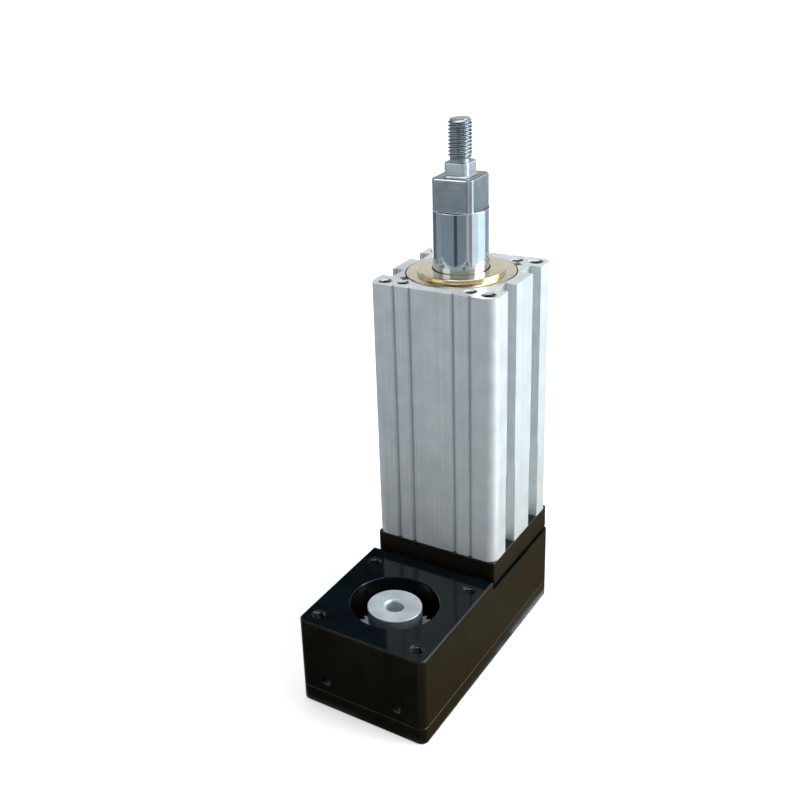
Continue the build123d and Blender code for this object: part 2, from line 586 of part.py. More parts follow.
def lock_nut():
    """Slotted round nut that clamps the inner rings against the screw's collar."""
    bore = BEARING_BORE_RADIUS - SEAT_CLEARANCE
    nut = ring(LOCK_NUT_RADIUS, bore, LOCK_NUT_BOTTOM_Z, BEARING_BOTTOM_Z)
    for angle in range(0, 360, 90):
        depth = 2 * LOCK_NUT_SLOT_DEPTH
        slot = slab(depth, LOCK_NUT_SLOT, LOCK_NUT_BOTTOM_Z, BEARING_BOTTOM_Z, x=LOCK_NUT_RADIUS)
        nut -= Pos(0, ROD_Y, 0) * Rot(0, 0, angle) * slot
    return nut


def toothed_disc(bottom, top, y):
    """Pulley rim with straight-flanked gaps, one gap on the +X axis."""
    root_radius = TOOTH_TIP_RADIUS - TOOTH_GAP_DEPTH
    mouth = TOOTH_GAP_WIDTH / (2 * TOOTH_TIP_RADIUS)
    root = TOOTH_ROOT_WIDTH / (2 * root_radius)
    gap = ((TOOTH_TIP_RADIUS, -mouth), (root_radius, -root), (root_radius, root), (TOOTH_TIP_RADIUS, mouth))
    points = []
    for i in range(PULLEY_TEETH):
        middle = 2 * math.pi * i / PULLEY_TEETH
        for radius, angle in gap:
            points.append((radius * math.cos(middle + angle), radius * math.sin(middle + angle)))
    outline = make_face(Polyline(*points, close=True))
    return extrude(Pos(0, y, bottom) * outline, top - bottom)


def screw_pulley():
    """Pulley on the screw's journal, with a keyway in its bore."""
    bottom = PULLEY_BOTTOM_Z
    rim_bottom = bottom + PULLEY_FLANGE_THICKNESS
    pulley = toothed_disc(rim_bottom, rim_bottom + PULLEY_FACE, ROD_Y)
    pulley += post(FLANGE_SEAT_RADIUS, bottom, PULLEY_TOP_Z, y=ROD_Y)
    pulley -= post(JOURNAL_RADIUS + SEAT_CLEARANCE, bottom, PULLEY_TOP_Z, y=ROD_Y)
    return pulley - pulley_key()


def pulley_flanges(bottoms, y):
    """Thin side discs pressed onto a pulley."""
    return [
        ring(PULLEY_FLANGE_RADIUS, FLANGE_SEAT_RADIUS, bottom, bottom + PULLEY_FLANGE_THICKNESS, y)
        for bottom in bottoms
    ]


def motor_pulley():
    """Pulley for the motor's shaft: a wide toothed rim below a long clamping hub."""
    flange_bottom = MOTOR_TEETH_BOTTOM_Z - PULLEY_FLANGE_THICKNESS
    rim_top = MOTOR_TEETH_BOTTOM_Z + MOTOR_PULLEY_FACE
    pulley = toothed_disc(MOTOR_TEETH_BOTTOM_Z, rim_top, MOTOR_Y)
    pulley += post(FLANGE_SEAT_RADIUS, flange_bottom, MOTOR_TEETH_BOTTOM_Z, y=MOTOR_Y)
    hub = post(HUB_RADIUS, rim_top, HUB_TOP_Z, y=MOTOR_Y)
    hub = chamfer(hub.faces().sort_by(Axis.Z)[-1].edges(), SEAM_CHAMFER)
    pulley += hub
    pulley -= chamfered_hole(MOTOR_SHAFT_RADIUS, HUB_TOP_Z, flange_bottom, 0, MOTOR_Y, EDGE_CHAMFER)
    pulley -= in_hub_wall(Cylinder(GRUB_RADIUS + THREAD_CLEARANCE, HUB_RADIUS - MOTOR_SHAFT_RADIUS))
    return pulley


def in_hub_wall(shape):
    """Copies of a shape drawn along Z, laid radially in the middle of the hub's wall."""
    height = (MOTOR_TEETH_BOTTOM_Z + MOTOR_PULLEY_FACE + HUB_TOP_Z) / 2 - GRUB_RADIUS
    laid = Pos((MOTOR_SHAFT_RADIUS + HUB_RADIUS) / 2, 0, 0) * Rot(0, 90, 0) * shape
    return [Pos(0, MOTOR_Y, height) * Rot(0, 0, angle) * laid for angle in GRUB_ANGLES]


def motor_pulley_grubs():
    """Set screws backed out so that the motor's shaft can enter."""
    return in_hub_wall(Cylinder(GRUB_RADIUS, GRUB_LENGTH))


def drive_belt():
    """Closed belt round both pulleys, its teeth shown on the straight runs."""
    middle = (MOTOR_Y + ROD_Y) / 2
    outer = slab(2 * BELT_OUTER_RADIUS, BELT_CENTRES, BELT_BOTTOM_Z, BELT_TOP_Z, y=middle)
    inner = slab(2 * BELT_INNER_RADIUS, BELT_CENTRES, BELT_BOTTOM_Z, BELT_TOP_Z, y=middle)
    for y in (MOTOR_Y, ROD_Y):
        outer += post(BELT_OUTER_RADIUS, BELT_BOTTOM_Z, BELT_TOP_Z, y=y)
        inner += post(BELT_INNER_RADIUS, BELT_BOTTOM_Z, BELT_TOP_Z, y=y)
    belt = outer - inner
    teeth = int((BELT_CENTRES - TOOTH_TIP_RADIUS) / BELT_PITCH)
    for i in range(teeth):
        y = middle + (i - (teeth - 1) / 2) * BELT_PITCH
        for side in (-1, 1):
            x = side * (BELT_INNER_RADIUS - BELT_TOOTH_DEPTH / 2)
            belt += slab(BELT_TOOTH_DEPTH, BELT_TOOTH_WIDTH, BELT_BOTTOM_Z, BELT_TOP_Z, x, y)
    return belt


def tip_bush():
    """Bush that steadies the screw's free end inside the hollow rod."""
    outer = ROD_BORE_RADIUS - RUNNING_CLEARANCE
    return ring(outer, TIP_JOURNAL_RADIUS, SCREW_TIP_Z, SCREW_TIP_Z + TIP_BUSH_LENGTH)


def ball_nut():
    """Cylindrical nut on the screw."""
    return ring(NUT_RADIUS, SCREW_RADIUS + RUNNING_CLEARANCE, NUT_BOTTOM_Z, NUT_BOTTOM_Z + NUT_LENGTH)


WEAR_RING_Z = CARRIER_Z + NUT_RING_INSET + NUT_RING_THICKNESS
MAGNET_Z = WEAR_RING_Z + WEAR_RING_WIDTH + CARRIER_WEB
KEY_Z = MAGNET_Z + MAGNET_WIDTH + CARRIER_WEB
CARRIER_RADIUS = TUBE_BORE_RADIUS - CARRIER_CLEARANCE


def nut_carrier():
    """Piston that holds the nut below and the rod above."""
    top = CARRIER_Z + CARRIER_LENGTH
    carrier = post(CARRIER_RADIUS, CARRIER_Z, top, y=ROD_Y)
    carrier -= post(NUT_RADIUS, CARRIER_Z, NUT_BOTTOM_Z + NUT_LENGTH, y=ROD_Y)
    carrier -= post(SCREW_RADIUS + BUMPER_CLEARANCE, CARRIER_Z, ROD_BOTTOM_Z, y=ROD_Y)
    carrier -= post(ROD_SPIGOT_RADIUS, ROD_BOTTOM_Z, top, y=ROD_Y)
    carrier -= nut_retaining_ring_groove()
    wear_groove = (WEAR_RING_Z, WEAR_RING_WIDTH, WEAR_RING_WALL)
    magnet_groove = (MAGNET_Z, MAGNET_WIDTH, MAGNET_WALL)
    for bottom, width, wall in (wear_groove, magnet_groove):
        carrier -= ring(CARRIER_RADIUS, CARRIER_RADIUS - wall, bottom, bottom + width)
    for key in guide_keys():
        carrier -= key
    return carrier


def nut_retaining_ring_groove():
    """Room for the retaining ring inside the carrier's mouth."""
    bottom = CARRIER_Z + NUT_RING_INSET
    return ring(NUT_RADIUS + NUT_RING_BITE, NUT_RADIUS, bottom, bottom + NUT_RING_THICKNESS)


def nut_retaining_ring():
    """Open ring under the nut."""
    bottom = CARRIER_Z + NUT_RING_INSET
    top = bottom + NUT_RING_THICKNESS
    blank = ring(NUT_RADIUS + NUT_RING_BITE, NUT_RADIUS - NUT_RING_BITE, bottom, top)
    return blank - slab(NUT_RING_GAP, NUT_RADIUS, bottom, top, y=ROD_Y - NUT_RADIUS)


def guide_keys():
    """Keys in the carrier that run in the tube's keyways and stop it turning."""
    outer = KEYWAY_RADIUS - CARRIER_CLEARANCE
    depth = outer - KEY_INNER_RADIUS
    width = KEYWAY_WIDTH - 2 * RUNNING_CLEARANCE
    return on_diagonal(slab(depth, width, KEY_Z, KEY_Z + KEY_LENGTH, x=outer - depth / 2))


def wear_ring():
    """Plastic band that carries the carrier in the bore."""
    outer = TUBE_BORE_RADIUS - RUNNING_CLEARANCE
    return ring(outer, CARRIER_RADIUS - WEAR_RING_WALL, WEAR_RING_Z, WEAR_RING_Z + WEAR_RING_WIDTH)


def magnet_ring():
    """Magnet that the position switches in the tube's slots read."""
    outer = CARRIER_RADIUS - SEAT_CLEARANCE
    return ring(outer, CARRIER_RADIUS - MAGNET_WALL, MAGNET_Z, MAGNET_Z + MAGNET_WIDTH)


def piston_rod():
    """Ground rod, bored from below for the screw, with four wrench flats at its top."""
    shoulder_z = ROD_BOTTOM_Z + ROD_SOCKET_DEPTH
    bevel = EDGE_CHAMFER
    rod = turned([
        (ROD_BORE_RADIUS, ROD_BOTTOM_Z),
        (ROD_SPIGOT_RADIUS, ROD_BOTTOM_Z),
        (ROD_SPIGOT_RADIUS, shoulder_z),
        (ROD_RADIUS, shoulder_z),
        (ROD_RADIUS, ROD_TOP_Z - bevel),
        (ROD_RADIUS - bevel, ROD_TOP_Z),
        (STUD_SPIGOT_RADIUS, ROD_TOP_Z),
        (STUD_SPIGOT_RADIUS, ROD_TOP_Z - STUD_SPIGOT_LENGTH),
        (0, ROD_TOP_Z - STUD_SPIGOT_LENGTH),
        (0, ROD_BORE_TOP_Z),
        (ROD_BORE_RADIUS, ROD_BORE_TOP_Z),
    ])
    waste = slab(2 * ROD_RADIUS, 2 * ROD_RADIUS, ROD_TOP_Z - FLATS_HEIGHT, ROD_TOP_Z, y=ROD_Y)
    waste -= slab(FLATS_WIDTH, FLATS_WIDTH, ROD_TOP_Z - FLATS_HEIGHT, ROD_TOP_Z, y=ROD_Y)
    return rod - waste


def rod_end_stud():
    """Stud screwed into the rod's top, with four small flats under its thread."""
    neck_top = ROD_TOP_Z + NECK_HEIGHT
    tip = neck_top + STUD_LENGTH
    thread = turned([
        (0, neck_top),
        (STUD_RELIEF_RADIUS, neck_top),
        (STUD_RELIEF_RADIUS, neck_top + STUD_RELIEF_LENGTH - STUD_RADIUS + STUD_RELIEF_RADIUS),
        (STUD_RADIUS, neck_top + STUD_RELIEF_LENGTH),
        (STUD_RADIUS, tip - STUD_BEVEL),
        (STUD_RADIUS - STUD_BEVEL, tip),
        (0, tip),
    ])
    flats = slab(NECK_FLATS, NECK_FLATS, ROD_TOP_Z, neck_top, y=ROD_Y)
    neck = post(NECK_RADIUS, ROD_TOP_Z, neck_top, y=ROD_Y) & flats
    spigot = post(STUD_SPIGOT_RADIUS, ROD_TOP_Z - STUD_SPIGOT_LENGTH, ROD_TOP_Z, y=ROD_Y)
    return spigot + neck + thread


NODES = {
    "belt_housing": belt_housing(),
    "base_cover": base_cover(),
    "cover_screws": cover_screws(),
    "bearing_block": bearing_block(),
    "block_dowels": block_dowels(),
    "tie_screws": tie_screws(),
    "cylinder_tube": cylinder_tube(),
    "rod_guide": rod_guide(),
    "rod_seal": rod_seal(),
    "upper_bumper": bumper(GUIDE_BOTTOM_Z - BUMPER_THICKNESS),
    "lower_bumper": bumper(BOSS_TOP_Z),
    "bearing_outer_rings": [bearing_outer_ring(bottom) for bottom in BEARING_BOTTOMS],
    "bearing_inner_rings": [bearing_inner_ring(bottom) for bottom in BEARING_BOTTOMS],
    "bearing_retainer": bearing_retainer(),
    "retainer_screws": retainer_screws(),
    "drive_belt": drive_belt(),
    "ball_screw": ball_screw(),
    "lock_nut": lock_nut(),
    "screw_pulley": screw_pulley(),
    "screw_pulley_key": pulley_key(),
    "screw_pulley_flanges": pulley_flanges((PULLEY_BOTTOM_Z, PULLEY_TOP_Z - PULLEY_FLANGE_THICKNESS), ROD_Y),
    "screw_pulley_snap_ring": snap_ring(PULLEY_BOTTOM_Z - SNAP_RING_THICKNESS),
    "screw_tip_bush": tip_bush(),
    "screw_tip_snap_ring": snap_ring(SCREW_TIP_Z + TIP_BUSH_LENGTH),
    "motor_pulley": motor_pulley(),
    "motor_pulley_flange": pulley_flanges((MOTOR_TEETH_BOTTOM_Z - PULLEY_FLANGE_THICKNESS,), MOTOR_Y),
    "motor_pulley_grubs": motor_pulley_grubs(),
    "ball_nut": ball_nut(),
    "nut_retaining_ring": nut_retaining_ring(),
    "nut_carrier": nut_carrier(),
    "guide_keys": guide_keys(),
    "wear_ring": wear_ring(),
    "magnet_ring": magnet_ring(),
    "piston_rod": piston_rod(),
    "rod_end_stud": rod_end_stud(),
}

os.makedirs("parts", exist_ok=True)
for node, shape in NODES.items():
    solids = shape if isinstance(shape, list) else [shape]
    export_step(Compound(children=[s for part in solids for s in part.solids()]), f"parts/{node}.step")
    print(node, len(solids))
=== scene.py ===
"""Looks of a belt-driven electric cylinder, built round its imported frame.

Sizes are in millimetres in the frame's own axes and are turned to metres as each mesh is made.
"""

import logging
import math
from collections.abc import Callable
from dataclasses import dataclass, replace
from enum import Enum
from functools import cache

import bmesh
import bpy
from mathutils import Euler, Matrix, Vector


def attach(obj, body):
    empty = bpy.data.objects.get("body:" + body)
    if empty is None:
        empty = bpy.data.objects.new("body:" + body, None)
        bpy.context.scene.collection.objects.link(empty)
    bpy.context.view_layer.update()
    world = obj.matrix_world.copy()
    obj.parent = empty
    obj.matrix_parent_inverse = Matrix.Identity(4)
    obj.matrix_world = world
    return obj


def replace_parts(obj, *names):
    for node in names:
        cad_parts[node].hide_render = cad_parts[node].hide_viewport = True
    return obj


LOG = logging.getLogger("electric_cylinder")
MM = 0.001
ROD_Y = 33.5
MOTOR_Y = -32.5
TUBE_TOP = 171.5
# angles between faces: shaded smooth below the first, given a broken edge above the second
SMOOTH_BELOW = math.radians(32)
BREAK_ABOVE = math.radians(40)
# what counts as one place, in millimetres, and as one plane when a node's triangles are merged
SAME_PLACE = 0.002
SAME_PLANE = math.radians(0.4)
# part of the normal along an axis above which a face looks that way
FACING = 0.9
FULL_TURN = 2 * math.pi
WHITE = (1, 1, 1, 1)
Pair = tuple[float, float]
Point = tuple[float, float, float]
Shape = bmesh.types.BMesh
Mesh = bpy.types.Mesh
Tree = bpy.types.NodeTree
Socket = bpy.types.NodeSocket
Node = bpy.types.Node
Source = Socket | Node
Object = bpy.types.Object

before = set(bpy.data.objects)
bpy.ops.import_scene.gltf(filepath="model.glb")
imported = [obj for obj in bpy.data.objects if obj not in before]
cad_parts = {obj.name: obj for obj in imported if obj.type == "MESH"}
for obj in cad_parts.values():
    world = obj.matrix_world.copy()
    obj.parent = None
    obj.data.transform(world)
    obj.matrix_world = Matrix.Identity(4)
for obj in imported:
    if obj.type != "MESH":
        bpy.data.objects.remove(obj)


def linear(code: str) -> tuple[float, float, float, float]:
    """Turn an sRGB hex colour into linear RGBA.

    Args:
        code: colour written as #RRGGBB.

    Returns:
        Linear red, green, blue and an alpha of one.
    """
    parts = [int(code[i:i + 2], 16) / 255 for i in (1, 3, 5)]
    red, green, blue = (p / 12.92 if p <= 0.04045 else ((p + 0.055) / 1.055) ** 2.4 for p in parts)
    return (red, green, blue, 1.0)


def add_node(tree: Tree, kind: str, settings: dict | None = None, inputs: dict | None = None) -> Node:
    """Add one node with its settings, values and incoming links.

    Args:
        tree: node tree that gets the node.
        kind: type name of the node.
        settings: properties of the node by name.
        inputs: values by socket name or index; a socket, or a node's first output, is linked.

    Returns:
        The new node.
    """
    node = tree.nodes.new(kind)
    for name, value in (settings or {}).items():
        setattr(node, name, value)
    for key, value in (inputs or {}).items():
        if isinstance(value, Node):
            value = value.outputs[0]
        if isinstance(value, Socket):
            tree.links.new(value, node.inputs[key])
        else:
            node.inputs[key].default_value = value
    return node


def blank_tree(holder: bpy.types.Material | bpy.types.World) -> Tree:
    """Turn on nodes and empty them.

    Args:
        holder: material or world that gets the nodes.

    Returns:
        Its empty node tree.
    """
    holder.use_nodes = True
    holder.node_tree.nodes.clear()
    return holder.node_tree


def put(name: str, data: bpy.types.ID) -> Object:
    """Link a new object into the scene.

    Args:
        name: name of the object.
        data: its mesh, lamp or camera.

    Returns:
        The object.
    """
    made = bpy.data.objects.new(name, data)
    bpy.context.scene.collection.objects.link(made)
    return made


def mesh_from(bm: Shape, name: str) -> Mesh:
    """Keep a bmesh as a mesh.

    Args:
        bm: the shape; it is freed here.
        name: name of the mesh.

    Returns:
        The mesh.
    """
    mesh = bpy.data.meshes.new(name)
    bm.to_mesh(mesh)
    bm.free()
    return mesh


# Patterns in every finish, per millimetre: soft patches about 8 mm across, pits about 7 mm apart,
# and marks that a die draws out 250 times their width.
PATCH_SCALE = 0.12
PATCH_SPAN = (0.12, 0.42)
GLOSS_SPAN = (0.3, 0.7)
DRAWN_STRETCH = 0.004
PIT_SCALE = 0.15
PIT_SPAN = (0.02, 0.04)
PIT_COLOUR = "#3C4146"
# band of painted shade inside the V grooves: its soft edge in millimetres and its colour
PAINTED_SHADE_EDGE = 0.15
PAINTED_SHADE_COLOUR = "#AEB4B8"


class Marks(Enum):
    """How a surface was made, which decides the direction of its fine marks."""

    TURNED = "rings about an upright axis"
    DRAWN = "lines along the height"
    MILLED = "arcs swept by a cutter"
    GRAINY = "no direction"


TURNED, DRAWN, MILLED, GRAINY = Marks


def colour_step(tree: Tree, value: Source, span: Pair, low: str, high: str | Socket) -> Socket:
    """Go from one colour to another as a value rises.

    Args:
        tree: the material's node tree.
        value: what is followed.
        span: where the change starts and ends.
        low: hex colour under the span.
        high: hex colour, or a colour's socket, over the span.

    Returns:
        Socket with the colour.
    """
    share = add_node(tree, "ShaderNodeMapRange",
                     inputs={"Value": value, "From Min": span[0], "From Max": span[1]})
    return add_node(tree, "ShaderNodeMix", {"data_type": "RGBA"}, {
        0: share, 6: linear(low), 7: linear(high) if isinstance(high, str) else high,
    }).outputs[2]


@dataclass(frozen=True)
class Finish:
    """One real material with the marks of how its surface was made.

    The pitch and depth of the marks and the centre that they lie round are in millimetres. Pits are
    small dark holes; painted_shade_inside is the distance from the middle, along Y, within which the
    colour is darkened as painted shade.
    """

    name: str
    slot: str
    colour: str
    shade: str
    metallic: float
    roughness: float
    marks: Marks
    pitch: float
    depth: float
    centre: Point = (0.0, ROD_Y, 0.0)
    spread: float = 0.08
    specular: float = 0.5
    pits: bool = False
    painted_shade_inside: float = 0.0

    def mark_value(self, tree: Tree, place: Node) -> Node:
        """Draw the fine marks.

        Args:
            tree: the material's node tree.
            place: position in millimetres from the finish's centre.

        Returns:
            Node whose first output is the marks' height from 0 to 1.
        """
        detail = {"Scale": 1.0 / self.pitch, "Detail": 3.0, "Roughness": 0.6}
        # share of the height kept in the pattern: little along a die's lines, none in a radius
        upright = {DRAWN: DRAWN_STRETCH, TURNED: 0.0}.get(self.marks, 1.0)
        laid = add_node(tree, "ShaderNodeVectorMath", {"operation": "MULTIPLY"},
                        {0: place, 1: (1.0, 1.0, upright)})
        if self.marks in (GRAINY, DRAWN):
            return add_node(tree, "ShaderNodeTexNoise", inputs={"Vector": laid, **detail})
        reach = add_node(tree, "ShaderNodeVectorMath", {"operation": "LENGTH"}, {0: laid}).outputs["Value"]
        if self.marks is TURNED:
            height = add_node(tree, "ShaderNodeSeparateXYZ", inputs={0: place}).outputs["Z"]
            reach = add_node(tree, "ShaderNodeMath", {"operation": "ADD"}, {0: reach, 1: height})
        return add_node(tree, "ShaderNodeTexNoise", {"noise_dimensions": "1D"}, {"W": reach, **detail})

    @cache
    def material(self) -> bpy.types.Material:
        """Build the material once.

        Returns:
            The material.
        """
        material = bpy.data.materials.new(self.name)
        tree = blank_tree(material)
        place = add_node(tree, "ShaderNodeMapping", inputs={
            "Vector": add_node(tree, "ShaderNodeTexCoord").outputs["Object"],
            "Location": [-c for c in self.centre], "Scale": (1 / MM, 1 / MM, 1 / MM),
        })
        marks = self.mark_value(tree, place)
        patches = add_node(tree, "ShaderNodeTexNoise",
                           inputs={"Vector": place, "Scale": PATCH_SCALE, "Detail": 4.0})
        blend = add_node(tree, "ShaderNodeMath", {"operation": "MULTIPLY"}, {0: marks, 1: patches})
        colour = colour_step(tree, blend, PATCH_SPAN, self.shade, self.colour)
        if self.pits:
            nearest = add_node(tree, "ShaderNodeTexVoronoi", inputs={"Vector": place, "Scale": PIT_SCALE})
            colour = colour_step(tree, nearest, PIT_SPAN, PIT_COLOUR, colour)
        # darken the colour near the middle along Y: painted shade at the roots of the grooves
        if self.painted_shade_inside:
            along = add_node(tree, "ShaderNodeSeparateXYZ", inputs={0: place}).outputs["Y"]
            apart = add_node(tree, "ShaderNodeMath", {"operation": "ABSOLUTE"}, {0: along})
            edge = (self.painted_shade_inside - PAINTED_SHADE_EDGE, self.painted_shade_inside + PAINTED_SHADE_EDGE)
            colour = colour_step(tree, apart, edge, PAINTED_SHADE_COLOUR, colour)
        gloss = add_node(tree, "ShaderNodeMapRange", inputs={
            "Value": patches, "From Min": GLOSS_SPAN[0], "From Max": GLOSS_SPAN[1],
            "To Min": self.roughness - self.spread / 2, "To Max": self.roughness + self.spread / 2,
        })
        relief = add_node(tree, "ShaderNodeBump",
                          inputs={"Height": marks, "Strength": 1.0, "Distance": self.depth * MM})
        shader = add_node(tree, "ShaderNodeBsdfPrincipled", inputs={
            "Base Color": colour, "Roughness": gloss, "Normal": relief,
            "Metallic": self.metallic, "Specular IOR Level": self.specular,
        })
        add_node(tree, "ShaderNodeOutputMaterial", inputs={"Surface": shader})
        return material


# Dyed and sealed oxide on the finely milled decks: near black and mirroring the tube, with a painted teal
# reflection as a green cast in its colour.
DECK_ANODISED_PAINTED_REFLECTION = Finish("black_deck_painted_reflection", "black_anodised", "#0B151A", "#060C10", 0.0, 0.09,
                       GRAINY, 0.5, 0.0015, spread=0.05, specular=0.36)
# The same dye on the coarser side faces, with no clear reflection; the brownish cast in its colour is a
# painted sheen, as where light grazes it.
SIDE_ANODISED_PAINTED_SHEEN = Finish("black_sides_painted_brown_sheen", "black_anodised", "#17130B", "#0C0A06", 0.0, 0.34,
                       DRAWN, 0.8, 0.006, specular=0.22)
# Broken edges of the black parts: pale metal where the dye is rubbed off, which also stands as a painted
# highlight along every edge, as a thin line.
RUBBED_EDGE_AND_PAINTED_HIGHLIGHT = Finish("rubbed_anodised_edge_and_painted_highlight", "black_anodised", "#5A5D5D", "#16181A", 0.7, 0.3,
                     GRAINY, 0.9, 0.01)
# Clear oxide on an extrusion: satin grey with faint die lines along the length and a few dark pits.
DRAWN_ALUMINIUM = Finish("drawn_anodised_aluminium", "natural_anodised", "#D2D8DA", "#C0C7CA",
                         0.35, 0.36, DRAWN, 0.45, 0.006, pits=True)
# The V grooves of the extrusion: painted shade darkens their roots, so they read as fine dark lines.
GROOVE_PAINTED_SHADE = Finish("drawn_groove_painted_shade", "natural_anodised", "#CED4D6", "#BCC3C6", 0.35, 0.38,
                      DRAWN, 0.45, 0.006, painted_shade_inside=28.3)
# Sawn and faced end of the extrusion: brighter, with a cutter's arcs.
FACED_ALUMINIUM = Finish("faced_aluminium", "natural_anodised", "#DDE3E6", "#C6CED2", 0.45, 0.34,
                         MILLED, 0.7, 0.006, centre=(-70.0, -30.0, 171.5))
# Bare turned aluminium of pulleys and carrier: fine rings that scatter light, so it stays bright.
TURNED_ALUMINIUM = Finish("turned_aluminium", "machined_aluminium", "#DCE6EC", "#B2BDC5", 0.55, 0.38,
                          TURNED, 0.35, 0.008, centre=(0.0, MOTOR_Y, 0.0))
# Hub's wall down in the recess: the same metal, painted darker as shade.
RECESS_ALUMINIUM_PAINTED_SHADE = Finish("turned_aluminium_painted_recess_shade", "machined_aluminium", "#A2AEB4", "#7E8A91", 0.5, 0.26,
                        TURNED, 0.35, 0.008, centre=(0.0, MOTOR_Y, 0.0))
# Toothed rim deep in the recess: the same metal painted dark as shade.
RIM_PAINTED_SHADE = Finish("aluminium_rim_painted_shade", "machined_aluminium", "#34393C", "#1D2123", 0.4, 0.5,
                   GRAINY, 0.4, 0.01)
# The same turned metal on parts round the rod's axis, where its rings lie.
TURNED_ALUMINIUM_ROD_SIDE = replace(TURNED_ALUMINIUM, name="turned_aluminium_rod_side",
                                    centre=(0.0, ROD_Y, 0.0))
# Pale free-cutting brass, faced: silvery champagne with fine rings.
TURNED_BRASS = Finish("faced_pale_brass", "turned_brass", "#DEDAC9", "#B8B198", 1.0, 0.2, TURNED, 0.4, 0.008)
# The same brass on its turned walls, tinted golden: a painted reflection of the walls mirroring each other.
BRASS_WALL_PAINTED_REFLECTION = Finish("turned_brass_wall_painted_reflection", "turned_brass", "#DACCA9", "#B09D76", 1.0, 0.16, TURNED, 0.4, 0.008)
# Ground and chromed bar: nearly a mirror, faint grinding rings.
HARD_CHROME = Finish("ground_hard_chrome", "hard_chrome", "#C3C8CD", "#B0B7BE", 1.0, 0.09,
                     TURNED, 0.3, 0.0012, spread=0.04)
# Flats cut through the chrome into bare steel: matte, with arcs from the cutter.
MILLED_STEEL = Finish("milled_steel_flats", "hard_chrome", "#9BA1A8", "#7A8289", 1.0, 0.34,
                      MILLED, 0.6, 0.012, centre=(0.0, ROD_Y, 170.0))
# Inside of tapped holes: cut thread with dirt at its roots.
CUT_THREAD = Finish("cut_thread", "natural_anodised", "#A7AEB2", "#5C6368", 1.0, 0.3, GRAINY, 0.5, 0.006)
# Machined steel of the stud and nuts: dull grey.
MACHINED_STEEL = Finish("dull_machined_steel", "machined_steel", "#BAC4CA", "#98A2A9", 1.0, 0.38,
                        TURNED, 0.4, 0.008)
# Rolled thread with oil left in its roots: the darkest of the steels.
ROLLED_THREAD = Finish("rolled_thread", "machined_steel", "#A4ADB3", "#828B92", 1.0, 0.3, GRAINY, 0.4, 0.006)
# Hardened and ground steel of rings, screw and dowels: bright, with rings too fine to catch.
BEARING_STEEL = Finish("ground_bearing_steel", "bearing_steel", "#C9CCCE", "#AEB1B4", 1.0, 0.16,
                       TURNED, 0.3, 0.003)
# Hot black oxide on alloy-steel screws: dark, slightly oily.
BLACK_OXIDE = Finish("black_oxide_steel", "black_steel", "#1E1F21", "#131415", 0.6, 0.38, GRAINY, 0.3, 0.006)
# Moulded belt: matte black with a fine grain.
BELT_RUBBER = Finish("moulded_belt_rubber", "belt_rubber", "#1B1B1C", "#121213", 0.0, 0.72,
                     GRAINY, 0.25, 0.02)
# Moulded seal: a little smoother and greyer than the belt.
SEAL_RUBBER = Finish("moulded_seal_rubber", "seal_rubber", "#242425", "#18181A", 0.0, 0.6, GRAINY, 0.25, 0.01)
# Cast bumpers: honey yellow, waxy.
CAST_URETHANE = Finish("cast_urethane", "bumper_rubber", "#B99A3C", "#A08330", 0.0, 0.45, GRAINY, 0.8, 0.01)
# Turned acetal: creamy white with a soft sheen.
TURNED_ACETAL = Finish("turned_acetal", "acetal", "#ECEAE2", "#DAD7CC", 0.0, 0.42, TURNED, 0.3, 0.006)
# Pressed and bonded magnet powder: charcoal grey, slightly metallic.
BONDED_FERRITE = Finish("bonded_ferrite", "ferrite", "#2B2B2D", "#1D1D1F", 0.1, 0.55, GRAINY, 0.3, 0.01)


def shade_smooth(mesh: Mesh) -> None:
    """Shade a mesh smooth, with an edge kept wherever two faces meet at a clear angle."""
    mesh.shade_smooth()
    mesh.set_sharp_from_angle(angle=SMOOTH_BELOW)


def baked(holder: Object) -> Mesh:
    """Keep the shape that an object's modifiers give as a plain mesh.

    Args:
        holder: object with live modifiers; it is removed here.

    Returns:
        The plain mesh.
    """
    bpy.context.view_layer.update()
    graph = bpy.context.evaluated_depsgraph_get()
    made = bpy.data.meshes.new_from_object(holder.evaluated_get(graph))
    holder.modifiers.clear()
    bpy.data.objects.remove(holder)
    return made


def settled(mesh: Mesh, bevel: float = 0.0, edge_index: int = 0) -> Mesh:
    """Break a mesh's edges if asked, and keep its wide faces flat under smooth shading.

    Args:
        mesh: the rough shape with its materials.
        bevel: width of the broken edge in millimetres, or zero.
        edge_index: material index of the broken edge.

    Returns:
        A new mesh with its normals settled.
    """
    rough = put(mesh.name + "_rough", mesh)
    if bevel:
        edge = rough.modifiers.new("broken_edges", "BEVEL")
        edge.width = bevel * MM
        edge.segments = 2
        edge.limit_method = "ANGLE"
        edge.angle_limit = BREAK_ABOVE
        edge.material = edge_index
        edge.harden_normals = True
    rough.modifiers.new("flat_faces", "WEIGHTED_NORMAL").keep_sharp = True
    return baked(rough)


def place_piece(mesh: Mesh, name: str, body: str) -> Object:
    """Link a mesh with its materials as a piece that rides on a body.

    Args:
        mesh: finished mesh in the frame's place.
        name: name of the piece.
        body: body that the piece moves with.

    Returns:
        The piece.
    """
    piece = put(name, mesh)
    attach(piece, body)
    LOG.info("%s: %d faces", name, len(mesh.polygons))
    return piece


def dressed_piece(bm: Shape, name: str, body: str, finishes: list[Finish], bevel: float = 0.0) -> Object:
    """Turn a bmesh in metres into a finished piece.

    Args:
        bm: the shape; it is freed here.
        name: name of the piece.
        body: body that the piece moves with.
        finishes: one finish for each material index, the last one also for broken edges.
        bevel: width of the broken edge in millimetres, or zero.

    Returns:
        The piece.
    """
    mesh = mesh_from(bm, name)
    for finish in finishes:
        mesh.materials.append(finish.material())
    shade_smooth(mesh)
    return place_piece(settled(mesh, bevel, len(finishes) - 1), name, body)


def piece_from(bm: Shape, name: str, body: str, finishes: list[Finish]) -> Object:
    """Turn a bmesh in millimetres into a finished piece; its arguments are those of dressed_piece."""
    bmesh.ops.scale(bm, vec=(MM, MM, MM), verts=bm.verts)
    return dressed_piece(bm, name, body, finishes)


